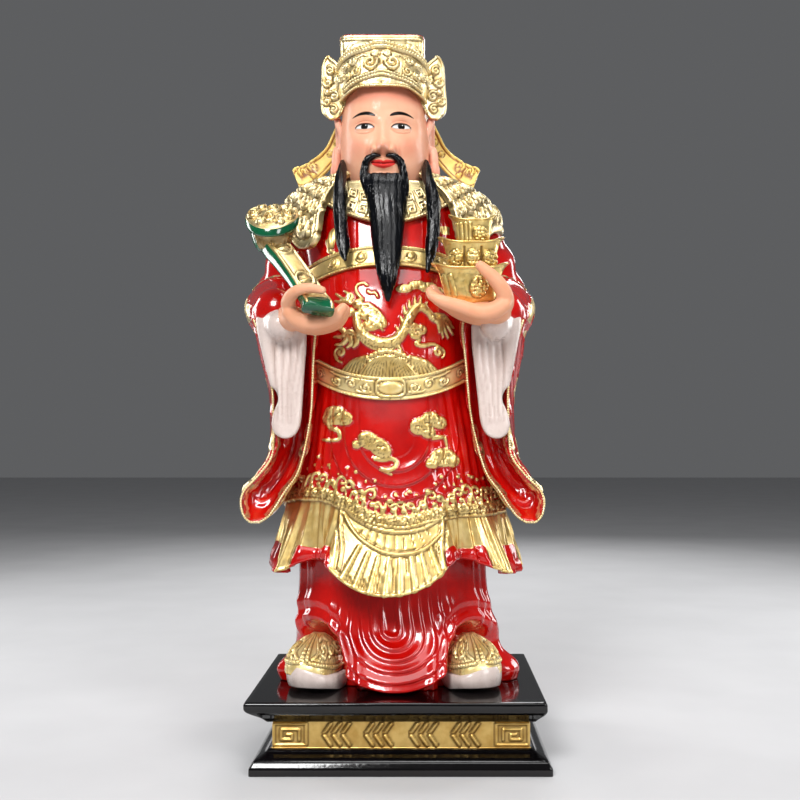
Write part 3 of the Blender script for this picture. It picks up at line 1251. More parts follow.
def sleeves():
    for side, name in ((-1, "right"), (1, "left")):
        skin = Cast([sleeve(side)] + arm(side), 0.0018, 2)
        sleeve_folds(skin, side)
        sleeve_gilding(skin, side)
        skin.build("sleeve_" + name, ENAMEL, "red_enamel")
        z = np.linspace(0.3020, 0.1650, 120)
        inner, outer, _, front, _, _ = smooth(SLEEVE)(z)
        down = np.column_stack([side * (inner + 0.0003), front - 0.0002, z])
        up = np.column_stack([side * (outer - 0.0003), front - 0.0002, z])[::-1]
        beaded_cord("sleeve_rim_" + name, np.vstack([down, up]), 0.00095, 0.0017, ENAMEL, "red_enamel")


sleeves()


# The white cuffs: height, inner edge, outer edge
CUFF = (
    (0.2215, 0.0690, 0.0735), (0.2235, 0.0652, 0.0770), (0.2275, 0.0622, 0.0798), (0.2335, 0.0604, 0.0804),
    (0.2410, 0.0597, 0.0783), (0.2490, 0.0590, 0.0757), (0.2530, 0.0587, 0.0770), (0.2570, 0.0583, 0.0794),
    (0.2700, 0.0572, 0.0798), (0.2850, 0.0558, 0.0812), (0.2990, 0.0556, 0.0826),
)


def cuffs():
    """A long tongue of lining hangs from the wrist, dished, with a thick edge and soft folds."""
    for side, name in ((-1, "right"), (1, "left")):
        z = np.linspace(CUFF[0][0], CUFF[-1][0], 110)[:, None]
        inner, outer = smooth(CUFF)(z)
        angle = turns(72)[None, :]
        across, deep = power(np.sin(angle), 0.8), power(np.cos(angle), 0.8)
        x = (inner + outer) / 2 + (outer - inner) / 2 * across
        y = -0.0610 - 0.0060 * deep + 0.0030 * (1 - across**2) * (deep > 0) - 0.0015 * ease(0.25, 0.22, z)
        tongue = np.stack(np.broadcast_arrays(side * x, y, z), -1)
        wrist = tube(mirrored(side, [(0.0780, -0.0480, 0.3040), (0.0750, -0.0610, 0.2995),
                                     (0.0715, -0.0700, 0.2970)]),
                     (0.0118, 0.0116, 0.0104), 40)
        fold = tube(mirrored(side, [(0.0860, -0.0560, 0.3110), (0.0835, -0.0640, 0.2960),
                                    (0.0800, -0.0640, 0.2720),
                                    (0.0785, -0.0630, 0.2580)]), (0.0050, 0.0056, 0.0042, 0.0026), 24)
        skin = Cast([tongue, wrist, fold], 0.0012, 3)
        ahead = skin.facing[:, 1] < -0.2
        skin.u = np.where(ahead, side * skin.grid[:, 0], FAR)
        skin.v = skin.grid[:, 2]
        for top, foot, bend in ((60.5, 65, 0), (64.5, 68, 0.5), (69.5, 71.5, 0.3), (74, 74.5, 0.4)):
            line = mm((top, 288), (top + bend, 272), (foot - bend, 250), (foot, 232 + 2 * bend))
            skin.ridge(curve(line, 6), (0.0009, 0.0017, 0.0015, 0.0006), 0.0008, gilt=False)
            skin.groove(curve(line, 6) + (0.0019, 0), (0.0008, 0.0011, 0.0006), 0.0006)
        skin.build("cuff_" + name, PEARL, "red_enamel")


cuffs()


# The hands


def hand_under_sceptre():
    """Fingers curl up below the sceptre and the thumb crosses above it."""
    parts = [blob((-0.0605, -0.0800, 0.3000), (0.0092, 0.0135, 0.0078)),
             tube(mirrored(-1, [(0.0710, -0.0560, 0.3030), (0.0625, -0.0800, 0.3005)]), (0.0100, 0.0085),
                  32)]
    for step in range(4):
        y = -0.0970 + 0.0082 * step
        reach = 0.0018 * math.sin(math.pi * (step + 1) / 5)
        finger = [(0.0625, y, 0.3025), (0.0572, y, 0.2972), (0.0470, y, 0.2955)]
        finger += [(0.0355 - reach, y, 0.2985), (0.0288 - reach, y, 0.3055)]
        parts.append(tube(mirrored(-1, finger), (0.0050, 0.0054, 0.0054, 0.0046, 0.0032), 28))
    thumb = [(0.0625, -0.0840, 0.3020), (0.0628, -0.0985, 0.3085)]
    thumb += [(0.0572, -0.1080, 0.3138), (0.0480, -0.1118, 0.3156), (0.0395, -0.1125, 0.3142)]
    parts.append(tube(mirrored(-1, thumb), (0.0056, 0.0048, 0.0038, 0.0034, 0.0027), 28))
    return parts


def hand_under_ingots():
    """Palm up: the fingers are laid out to the middle and the thumb rises over the lowest ingot."""
    parts = [blob((0.0635, -0.0800, 0.3045), (0.0165, 0.0165, 0.0068)),
             tube([(0.0750, -0.0560, 0.3060), (0.0715, -0.0780, 0.3050)], (0.0105, 0.0088), 32)]
    for step in range(4):
        y = -0.0965 + 0.0085 * step
        reach = 0.0022 * math.sin(math.pi * (step + 1) / 5) - 0.0015 * (step == 3)
        finger = [(0.0755, y, 0.3075), (0.0690, y, 0.3038), (0.0600, y, 0.3022), (0.0470, y, 0.3060)]
        finger += [(0.0365 - reach, y, 0.3098 + 0.0012 * step),
                   (0.0300 - reach, y + 0.0010, 0.3130 + 0.0030 * step)]
        parts.append(tube(finger, (0.0052, 0.0058, 0.0054, 0.0048, 0.0040, 0.0028), 28))
    thumb = [(0.0735, -0.0830, 0.3040), (0.0768, -0.0935, 0.3105), (0.0738, -0.0985, 0.3180)]
    thumb += [(0.0675, -0.1010, 0.3252), (0.0605, -0.1015, 0.3315)]
    parts.append(tube(thumb, (0.0068, 0.0058, 0.0052, 0.0045, 0.0034), 28))
    return parts


def hands():
    for name, parts in (("right", hand_under_sceptre()), ("left", hand_under_ingots())):
        skin = Cast(parts, 0.0009, 4)
        skin.tint = np.tile(SKIN_TONE, (len(skin.grid), 1))
        skin.build("hand_" + name, FLESH, "red_enamel")


hands()


# The ruyi sceptre


SCEPTRE = (
    (-0.0425, -0.1120, 0.3015, 0.0102, 0.0042),
    (-0.0430, -0.1092, 0.3048, 0.0104, 0.0048),
    (-0.0465, -0.1032, 0.3112, 0.0096, 0.0038),
    (-0.0550, -0.0955, 0.3240, 0.0090, 0.0044),
    (-0.0655, -0.0855, 0.3380, 0.0088, 0.0056),
    (-0.0720, -0.0790, 0.3460, 0.0090, 0.0060),
    (-0.0770, -0.0745, 0.3530, 0.0080, 0.0060),
    (-0.0775, -0.0730, 0.3590, 0.0066, 0.0054),
)


def strip(rings, count, columns, facing, corner):
    """A flat bar through rings of x, y, z, half width and half thickness, its face towards facing."""
    x, y, z, half, thick = smooth([(i, *ring) for i, ring in enumerate(rings)])(
        np.linspace(0, len(rings) - 1, count))
    centre = surface(x, y, z)
    along = np.gradient(centre, axis=0)
    length = np.cumsum(np.linalg.norm(along, axis=1))
    along /= np.linalg.norm(along, axis=1, keepdims=True)
    across = np.cross(along, facing)
    across /= np.linalg.norm(across, axis=1, keepdims=True)
    normal = np.cross(across, along)
    a = turns(columns)[None, :, None]
    side_way, face_way = power(np.sin(a), corner), power(np.cos(a), corner)
    sides = half[:, None, None] * side_way * across[:, None]
    faces = thick[:, None, None] * face_way * normal[:, None]
    return centre, half, length, side_way, face_way, centre[:, None] + sides + faces


def sceptre_bar():
    """The flat handle, gilt on its face and green on its edges and its thick end."""
    _, half, length, side_way, face_way, grid = strip(SCEPTRE, 140, 64, (0.34, -0.74, 0.60), 0.5)
    skin = Skin(grid)
    face = (face_way[..., 0] > 0.55) * np.ones_like(skin.u) > 0
    local = (half[:, None, None] * side_way)[..., 0] * np.ones_like(skin.u)
    skin.u = np.where(face, local, FAR)
    skin.v = length[:, None] * np.ones_like(skin.u)
    inset = half[:, None] - 0.0012 - np.abs(local)
    on_face = face & (length[:, None] > 0.0080) & (length[:, None] < 0.0660)
    skin.gilt[on_face] = np.minimum(inset, 0.002)[on_face]
    for edge in (-1, 1):
        line = np.column_stack([edge * (half - 0.0022), length])[9:]
        skin.ridge(line, 0.0008, 0.0006)
    for v in (0.0270, 0.0580):
        ring = np.array([(0.0058 * math.cos(t), v + 0.0066 * math.sin(t))
                         for t in np.linspace(0, 2 * math.pi, 40)])
        skin.ridge(ring, 0.0008, 0.0009)
        skin.ridge(curl(0, v, 0.0036, 200, 480, 0.2, 40), (0.0010, 0.0008), 0.0010)
    skin.build("sceptre_bar", JADE, "gold_leaf", closed=(True, True), replaces=("ruyi_sceptre",))


def sceptre_head():
    """A cloud-shaped dish on a dark gilt cup, with a green band and scrolls heaped on its sloping top."""
    angle = turns(150)[None, :]
    profile = smooth((
        (0.0, 0.0085, -0.0205), (1.0, 0.0108, -0.0185), (2.0, 0.0132, -0.0130), (3.0, 0.0148, -0.0075),
        (3.8, 0.0160, -0.0056), (4.4, 0.0174, -0.0026), (5.2, 0.0175, 0.0012), (6.0, 0.0166, 0.0026),
        (7.0, 0.0142, 0.0036), (8.0, 0.0100, 0.0050), (9.0, 0.0050, 0.0058), (10.0, 0.0010, 0.0060),
    ))
    step = np.linspace(0, 10, 96)[:, None]
    reach, rise = profile(step)
    lobes = 1 + 0.060 * np.cos(3 * angle) * ease(2, 4, step)
    x, y = reach * lobes * np.sin(angle), -0.82 * reach * lobes * np.cos(angle)
    z = rise + 0.72 * y * ease(1.6, 4.6, step)
    skin = Skin(surface(x, y, z) + (-0.0755, -0.0765, 0.3660))
    on_top = step * np.ones_like(angle) > 5.4
    cup = (step > 0.4) & (step < 3.7) & (angle > -0.85) & (angle < 1.3)
    skin.gilt = np.where(on_top | cup, 0.002, -0.005)
    way, level = angle * 0.0150 * np.ones_like(x), step * 0.0040 * np.ones_like(x)
    skin.height += 0.0005 * cup * pebbles(way, level, 0.0034)
    skin.u = np.where(on_top, x, FAR)
    skin.v = y * np.ones_like(x)
    for u, v, size, turn in ((-0.0108, 0.0000, 0.0050, 480), (0.0104, -0.0010, 0.0050, -480),
                             (0, -0.0072, 0.0046, 460),
                             (0.0003, 0.0030, 0.0056, -500), (-0.0072, 0.0088, 0.0034, 420),
                             (0.0078, 0.0086, 0.0034, 420),
                             (-0.0065, -0.0085, 0.0030, -420), (0.0068, -0.0088, 0.0030, 420)):
        skin.ridge(curl(u, v, size, 90, turn, 0.15, 44), (0.0009, 0.0013, 0.0012), 0.0022)
    blotches = 0.96 + 0.30 * np.sin(430 * way + 3 * np.sin(300 * level)) * np.sin(520 * level)
    blotches = np.clip(blotches, 0, 1)
    skin.shade = np.maximum(skin.hollows(), cup * blotches)
    skin.build("sceptre_head", JADE, "gold_leaf", closed=(True, True))


sceptre_bar()
sceptre_head()


# The stack of ingots


def ingot(number, bottom, top, half, depth, crown):
    """A boat-shaped ingot: sides that curve in below, a flat rim with raised ends and a dome inside."""
    angle = front_turns(141, 2.5, 1.3)
    tall = top - bottom
    profile = smooth((
        (0.0, 0.38, 0.000), (0.4, 0.50, 0.015), (1.0, 0.61, 0.090), (3.0, 0.765, 0.450), (5.0, 0.88, 0.830),
        (5.8, 0.955, 0.940), (6.2, 0.995, 0.960), (6.7, 1.000, 0.990), (7.1, 0.985, 1.000),
        (8.0, 0.90, 0.990), (8.4, 0.87, 0.930), (9.2, 0.72, 0.820), (10.0, 0.52, 0.86 + crown * 0.3),
        (11.0, 0.30, 0.90 + crown),
        (12.0, 0.02, 0.92 + crown * 1.15),
    ))
    step = spread(0, 12, 70, lambda s: 1 + 1.2 * (s < 7))[:, None]
    width, rise = profile(step)
    x, y = oval(angle, half * width, depth * width, depth * width, 2.3)
    ends = np.abs(np.sin(angle)) ** 3
    horn = 0.0048 * ends * ease(1.5, 6.0, step) * (1 - ease(8.2, 9.4, step))
    flare = 1 + 0.06 * ends * ease(3.0, 6.5, step)
    z = bottom + tall * rise + horn
    middle_x = 0.0550 + 0.0011 * number
    skin = Skin(np.stack(np.broadcast_arrays(x * flare + middle_x, y - 0.0810, z), -1))
    skin.gilt[:] = 0.002
    side = (step > 1.0) & (step < 5.6) & (np.cos(angle) > 0.1)
    skin.u = np.where(side, skin.grid[..., 0] - middle_x, FAR)
    middle = bottom + 0.47 * tall
    return skin, middle


def ingots():
    places = ((0.3095, 0.3322, 0.0242, 0.0150, 0.02), (0.3298, 0.3490, 0.0208, 0.0135, 0.02),
              (0.3470, 0.3638, 0.0150, 0.0112, 0.26))
    for number, place in enumerate(places):
        skin, middle = ingot(number, *place)
        if number == 0:
            skin.disc(0.0048, middle - 0.0005, 0.0056, 0.0070, -20, 0.0008, 0.0013, 0.0024)
            for x in (-0.0150, -0.0108):
                skin.ridge(curve([(x, middle - 0.0060), (x - 0.0010, middle),
                                  (x - 0.0026, middle + 0.0065)], 6),
                           0.0016, 0.0009)
        if number == 1:
            for x in (-0.0105, 0.0005, 0.0115):
                skin.disc(x, middle, 0.0044, 0.0052, 0, 0.0008, 0.0013, 0.0022)
            for x in (-0.0052, 0.0060):
                skin.groove([(x, middle - 0.0065), (x, middle + 0.0065)], 0.0009, 0.0012)
        if number == 2:
            skin.disc(0.0044, middle, 0.0046, 0.0048, 0, 0.0008, 0.0013, 0.0022)
            for x in (-0.0105, -0.0080, -0.0050, -0.0022):
                skin.ridge([(x * 0.9, middle - 0.0055), (x, middle + 0.0060)], 0.0011, 0.0008)
        near = skin.u < 1
        skin.height += 0.0003 * near * pebbles(skin.u, skin.v, 0.0040, 7)
        made_for = ("ingot_stack",) if number == 0 else ()
        skin.build("ingot_%d" % (number + 1), GOLD, "gold_leaf", closed=(True, True), replaces=made_for)


ingots()


# Chest band, collar and shoulder cape


def chest_band():
    tall = 0.0148
    skin = band(chest_band_height, tall, 0.0026, 24)
    beaded_edges(skin, tall, 0.0024)
    for x in (-0.0185, 0.0155, -0.0380, 0.0360):
        skin.disc(x, 0.0002, 0.0026, 0.0026, 0, 0.0018)
        skin.ridge(curl(x, 0.0002, 0.0034, 200, 250, 0.9), 0.0006, 0.0007)
    skin.build("chest_band", ROBE, "red_enamel")


chest_band()


def robe_front(x, z):
    """How far the coat's front is at a point, as y."""
    width, front, _ = smooth(OUTER_ROBE)(z)
    return -front * np.clip(1 - np.abs(x / width) ** 2.2, 0.02, 1) ** (1 / 2.2)


def key_pattern(skin, x, z, size, way, turn):
    c, s = math.cos(math.radians(turn)), math.sin(math.radians(turn))
    steps = [(-1, -1), (-1, 1), (1, 1), (1, -0.55), (-0.35, -0.55), (-0.35, 0.35), (0.35, 0.35)]
    points = np.array(steps) * (way * size * 0.75, size)
    points = np.column_stack([points[:, 0] * c - points[:, 1] * s, points[:, 0] * s + points[:, 1] * c])
    skin.ridge(points + (x, z), 0.0008, 0.0013)


def collar():
    """The gilt plate with a key pattern that covers the chest below the beard."""
    across = np.concatenate([[-1], np.linspace(-1, 1, 168), [1]])[None, :]
    up = np.concatenate([[0], np.linspace(0, 1, 60)])[:, None]
    half = 0.0416 - 0.0075 * ease(0.25, 1.0, up)
    x = across * half
    low = 0.3707 + 8.8 * x**2
    z = low + up * (0.4035 - low) * (0.55 + 0.45 * (1 - np.abs(across) ** 3))
    z = z + 0.0125 * up * np.abs(across) ** 3
    y = robe_front(x, z) - 0.0030 - 0.0012 * (1 - up)
    y = np.minimum(y, -0.0250 - 0.0030 * (1 - np.abs(across)))
    y[0, :] += 0.0030
    y[:, [0, -1]] += 0.0030
    grid = surface(x, y, z)
    skin = Skin(grid, wrap=False)
    skin.gilt[:] = 0.002
    line = skin.grid[3, :, [0, 2]].T
    skin.ridge(line + (0, 0.0004), 0.0010, 0.0014, beads=0.0023)
    skin.groove(line + (0, 0.0018), 0.0006, 0.0005)
    for side in (-1, 1):
        for number in range(4):
            x = side * (0.0085 + 0.0082 * number)
            low = 0.3707 + 8.8 * x**2
            key_pattern(skin, x, low + 0.0078, 0.0034, side, 34 * side * number / 3)
            key_pattern(skin, x * 0.95, low + 0.0170, 0.0032, -side, 34 * side * number / 3)
    skin.build("collar", ENAMEL, "red_enamel")


collar()

# The cape from the neck outwards: level, reach to the side, front and back, height over the shoulder.
CAPE = (
    (0.00, 0.0230, 0.0240, 0.0230, 0.4145),
    (0.25, 0.0400, 0.0310, 0.0330, 0.4115),
    (0.45, 0.0540, 0.0375, 0.0400, 0.4070),
    (0.65, 0.0665, 0.0430, 0.0450, 0.4000),
    (0.80, 0.0745, 0.0465, 0.0480, 0.3925),
    (0.92, 0.0800, 0.0490, 0.0500, 0.3825),
    (1.00, 0.0820, 0.0500, 0.0510, 0.3700),
)
# Where the cape's front edge is: level, degrees from the front.
CAPE_EDGE = ((0.0, 40), (0.30, 38), (0.60, 37.5), (0.80, 35.5), (0.90, 33.5), (0.96, 34.0), (1.0, 37.5))


def cape():
    """The gold cape: it slopes from the neck over the shoulders and hangs in a lobe on each breast."""
    level = np.concatenate([[1.0], np.linspace(1, 0, 88)])[:, None]
    start = np.radians(smooth(CAPE_EDGE)(level)[0])
    share = spread(0, 1, 400, lambda t: 1 + 1.6 * (np.abs(t - 0.5) > 0.27))
    share = np.concatenate([[0], share, [1]])[None, :]
    angle = start + share * (2 * math.pi - 2 * start)
    reach_side, reach_front, reach_back, shoulder = smooth(CAPE)(level)
    off_front = degrees_off_front(angle)
    lobe = bell(off_front - 43, 13)
    breast = 0.4125 - 0.0475 * level**1.7
    z = breast + (shoulder - breast) * np.sin(angle) ** 2 - 0.0135 * lobe * level**2
    z = z - 0.0100 * level**2 * ease(110, 180, off_front)
    x, y = oval(angle, reach_side + 0.0012, reach_front + 0.0022, reach_back + 0.0015, 2.3)
    tucked = np.zeros_like(x)
    tucked[0, :] = tucked[:, 0] = tucked[:, -1] = 0.0036
    x, y = pushed(x, y, -tucked)
    skin = Skin(surface(x, y, z), wrap=False)
    skin.gilt[:] = 0.002
    flat = 0.0720
    skin.u = (angle - math.pi) * flat
    skin.v = -0.0640 * level * np.ones_like(angle)
    edge_u = (start[:, 0] - math.pi) * flat
    for side in (1, -1):
        border = np.column_stack([side * (edge_u + 0.0016), skin.v[:, 0]])[2:]
        skin.ridge(border, 0.0011, 0.0013, beads=0.0024)
        skin.groove(border + (side * 0.0020, 0), 0.0006, 0.0005)
        skin.ridge(border + (side * 0.0034, 0), 0.0006, 0.0007)
    low = np.array([(-0.187, -0.0622), (0, -0.0622), (0.187, -0.0622)])
    skin.ridge(low, 0.0011, 0.0013, beads=0.0024)
    skin.groove(low + (0, 0.0020), 0.0006, 0.0005)
    for row in range(5):
        for place in range(-13, 14):
            u, v = (place + 0.5 * (row % 2)) * 0.0140, -0.0125 - 0.0108 * row
            if abs(u) < 0.176:
                way = 1 if (place + row) % 2 else -1
                scroll = curl(u, v, 0.0052, 90 + 70 * way, 440 * way, 0.16, 40)
                skin.groove(scroll, 0.0026, 0.0005)
                skin.ridge(scroll, (0.0011, 0.0015, 0.0013), 0.0021)
                skin.disc(u + 0.0070, v + 0.0028, 0.0016, 0.0016, 0, 0.0015)
                skin.disc(u + 0.0068, v - 0.0030, 0.0013, 0.0013, 0, 0.0013)
    skin.build("cape", ENAMEL, "red_enamel")


cape()


# The head


HEAD = (
    (0.3885, 0.0090, 0.0330, 0.0040),
    (0.3915, 0.0180, 0.0366, 0.0140),
    (0.3980, 0.0252, 0.0384, 0.0220),
    (0.4080, 0.0298, 0.0392, 0.0280),
    (0.4180, 0.0320, 0.0392, 0.0300),
    (0.4290, 0.0329, 0.0388, 0.0325),
    (0.4400, 0.0326, 0.0381, 0.0340),
    (0.4520, 0.0315, 0.0370, 0.0345),
    (0.4640, 0.0298, 0.0350, 0.0330),
    (0.4750, 0.0262, 0.0305, 0.0300),
    (0.4860, 0.0190, 0.0230, 0.0230),
)
EYE_X, EYE_Z = 0.0129, 0.4405
EYE_HALF = 0.0063
BROW_Z = 0.4494
NOSE_Z = 0.4240
MOUTH_Z = 0.4137


def lid(x, upper):
    """The height of an eyelid's edge over the eye's middle line, across one eye."""
    t = np.clip(x / EYE_HALF, -1, 1)
    return (0.0023 if upper else -0.0014) * np.sqrt(1 - t * t) + 0.0004 * t


def face_relief(x, z):
    """How far the features stand out of the plain head, in metres towards the front."""
    side = np.abs(x)
    out = 0.0026 * bell(x, 0.0036) * ease(0.4500, 0.4330, z) * ease(0.4180, 0.4225, z)
    out += 0.0064 * bell(x, 0.0044) * bell(z - NOSE_Z - 0.0010, 0.0050) * ease(0.4194, 0.4218, z)
    out += 0.0022 * bell(x, 0.0070) * bell(z - NOSE_Z, 0.0042) * ease(0.4192, 0.4222, z)
    out += 0.0036 * bell(side - 0.0066, 0.0022) * bell(z - NOSE_Z + 0.0010, 0.0026)
    out -= 0.0007 * bell(side - 0.0050, 0.0009) * bell(z - NOSE_Z - 0.0010, 0.0026)
    out -= 0.0016 * bell(side - 0.0030, 0.0013) * bell(z - NOSE_Z + 0.0034, 0.0011)
    out -= 0.0020 * bell(side - EYE_X, 0.0078) * bell(z - EYE_Z - 0.0006, 0.0052)
    local = side - EYE_X
    out += 0.0020 * np.sqrt(np.clip(1 - (local / 0.0074) ** 2 - ((z - EYE_Z) / 0.0048) ** 2, 0, 1))
    inside = np.abs(local) < 0.0069
    out += 0.0010 * bell(z - EYE_Z - lid(local, True) - 0.0006, 0.0007) * inside
    out += 0.0006 * bell(z - EYE_Z - lid(local, False) + 0.0005, 0.0006) * inside
    out -= 0.0006 * bell(z - EYE_Z - lid(local * 0.86, True) - 0.0022, 0.0006) * bell(local, 0.0060)
    out += 0.0011 * bell(z - BROW_Z + 0.0006, 0.0030) * bell(side - EYE_X, 0.0085)
    out += 0.0030 * bell(side - 0.0165, 0.0085) * bell(z - 0.4290, 0.0080)
    out -= 0.0009 * bell(side - 0.0102 - 0.35 * (0.4240 - z), 0.0016) * bell(z - 0.4205, 0.0055)
    out += 0.0022 * bell(x, 0.0110) * bell(z - MOUTH_Z, 0.0065)
    out -= 0.0006 * bell(x, 0.0014) * bell(z - 0.4185, 0.0022)
    out += 0.0025 * bell(x, 0.0095) * bell(z - 0.4030, 0.0050)
    part = mouth_line(x)
    wide = np.clip(1 - (x / 0.0088) ** 2, 0, 1)
    out += 0.0014 * wide * bell(z - part - 0.0014, 0.0013)
    out += 0.0017 * wide * bell(z - part + 0.0017, 0.0016)
    out -= 0.0012 * wide**0.4 * bell(z - part, 0.0005)
    out -= 0.0008 * bell(side - 0.0092, 0.0012) * bell(z - part, 0.0014)
    out -= 0.0010 * bell(x, 0.0070) * bell(z - MOUTH_Z + 0.0056, 0.0016)
    return out


def mouth_line(x):
    """The line between the lips, lifted at its ends."""
    return MOUTH_Z + 16 * x**2 - 0.0003 * bell(x, 0.0016)


def laid_over(base, share, colour):
    return base + share[..., None] * (np.array(colour) - base)


def face_paint(x, z, front):
    """The colours of the face: blush, lips, eyes, lashes and brows."""
    side = np.abs(x)
    tint = np.tile(np.array(linear(228, 174, 144)), (*x.shape, 1))
    tint = laid_over(tint, 0.45 * bell(side - 0.0180, 0.0090) * bell(z - 0.4270, 0.0085),
                     linear(230, 138, 114))
    tint = laid_over(tint, 0.45 * bell(x, 0.0060) * bell(z - NOSE_Z, 0.0045), linear(226, 138, 112))
    tint = laid_over(tint, 0.60 * ease(0.018, 0.032, side), linear(222, 148, 116))
    tint = laid_over(tint, 0.45 * ease(0.418, 0.396, z), linear(218, 132, 100))
    tint = laid_over(tint, 0.55 * bell(side - 0.0112, 0.0012) * bell(z - 0.4205, 0.0050),
                     linear(206, 120, 96))
    tint = laid_over(tint, 0.60 * ease(0.4560, 0.4640, z), linear(214, 120, 100))
    local = side - EYE_X
    tint = laid_over(tint, 0.40 * bell(local, 0.0085) * bell(z - EYE_Z - 0.0030, 0.0030),
                     linear(214, 132, 110))
    tint = laid_over(tint, 0.55 * bell(side - 0.0032, 0.0016) * bell(z - NOSE_Z + 0.0036, 0.0010),
                     linear(110, 36, 32))
    tint = laid_over(tint, 0.40 * bell(side - 0.0086, 0.0012) * bell(z - NOSE_Z + 0.0004, 0.0030),
                     linear(190, 100, 80))
    height = z - mouth_line(x)
    wide = np.sqrt(np.clip(1 - (x / 0.0086) ** 2, 0, 1))
    upper = 0.0026 * wide * (1 - 0.30 * bell(x, 0.0014))
    lips = ease(0.0003, -0.0003, height - upper) * ease(-0.0003, 0.0003, height + 0.0034 * wide)
    lips = lips * (wide > 0.05)
    tint = laid_over(tint, 0.95 * lips * front, linear(206, 44, 44))
    tint = laid_over(tint, 0.9 * (wide > 0.02) * bell(height, 0.00032) * front, linear(96, 10, 14))
    top, bottom = EYE_Z + lid(local, True), EYE_Z + lid(local, False)
    opening = ease(0.00025, -0.00025, z - top) * ease(-0.00025, 0.00025, z - bottom)
    opening = opening * (np.abs(local) < EYE_HALF) * front
    tint = laid_over(tint, opening, linear(226, 222, 220))
    iris = np.hypot(local - 0.0001, z - EYE_Z - 0.0005)
    tint = laid_over(tint, opening * ease(0.00265, 0.00235, iris), linear(16, 10, 8))
    tint = laid_over(tint, opening * ease(0.00150, 0.00125, iris), linear(2, 2, 2))
    glint = np.hypot(x - np.sign(x) * EYE_X - 0.0009, z - EYE_Z - 0.0015)
    tint = laid_over(tint, opening * ease(0.00045, 0.00025, glint), (1, 1, 1))
    lash = bell(z - top - 0.0001, 0.00066) * (np.abs(local) < EYE_HALF + 0.0007) * front
    lash = np.maximum(lash, 0.6 * bell(z - bottom, 0.00032) * (np.abs(local) < EYE_HALF - 0.0003) * front)
    tint = laid_over(tint, lash, linear(14, 9, 9))
    t = (side - 0.0134) / 0.0084
    brow = BROW_Z + 0.0012 - 0.0020 * t**2 + 0.0002 * t
    thick = 0.00125 * np.clip(1 - t**2, 0, 1) ** 0.5 * (1 - 0.35 * t)
    hair = ease(0.0003, -0.0002, np.abs(z - brow) - thick) * (np.abs(t) < 1) * front
    return laid_over(tint, hair, linear(16, 12, 12))


def head():
    angle = front_turns(211, 10.0, 0.75)
    z = spread(HEAD[0][0], HEAD[-1][0], 180, lambda h: 1 + 4.0 * ((h > 0.4080) & (h < 0.4540)))[:, None]
    z = z * np.ones_like(angle)
    x, y = oval(angle, *smooth(HEAD)(z), 2.2)
    front = (y < -0.005) * 1.0
    y = y - face_relief(x, z) * front
    skin = Skin(surface(x, y, z))
    skin.tint = face_paint(x, z, front)
    skin.build("head", FLESH, "red_enamel", closed=(True, True))


head()


def ears():
    """Long-lobed ears at the sides of the head."""
    for side, name in ((-1, "right"), (1, "left")):
        rim = [(0.0285, -0.0085, 0.4350), (0.0330, -0.0075, 0.4500), (0.0345, -0.0010, 0.4560),
               (0.0345, 0.0060, 0.4520), (0.0345, 0.0070, 0.4400), (0.0350, 0.0030, 0.4300),
               (0.0358, -0.0010, 0.4220)]
        parts = [
            tube(mirrored(side, rim), (0.0020, 0.0026, 0.0027, 0.0027, 0.0026, 0.0030, 0.0036), 20),
            blob((side * 0.0315, 0.0000, 0.4430), (0.0030, 0.0068, 0.0115)),
            blob((side * 0.0356, -0.0035, 0.4245), (0.0038, 0.0062, 0.0120)),
            blob((side * 0.0362, -0.0055, 0.4165), (0.0040, 0.0058, 0.0085)),
            blob((side * 0.0310, -0.0080, 0.4340), (0.0028, 0.0030, 0.0045)),
        ]
        skin = Cast(parts, 0.0009, 3)
        skin.tint = laid_over(np.tile(np.array(linear(236, 176, 152)), (len(skin.grid), 1)),
                              0.5 * ease(0.430, 0.414, skin.grid[:, 2]), linear(226, 140, 120))
        skin.build("ear_" + name, FLESH, "red_enamel")


ears()


# Beard, moustache and the strands before the ears


BEARD = (
    (0.3135, 0.0662, 0.0010, 0.0010),
    (0.3225, 0.0655, 0.0040, 0.0032),
    (0.3330, 0.0640, 0.0070, 0.0047),
    (0.3460, 0.0590, 0.0093, 0.0060),
    (0.3590, 0.0530, 0.0108, 0.0070),
    (0.3730, 0.0475, 0.0124, 0.0078),
    (0.3915, 0.0430, 0.0146, 0.0086),
    (0.4000, 0.0405, 0.0152, 0.0080),
    (0.4065, 0.0375, 0.0146, 0.0062),
)


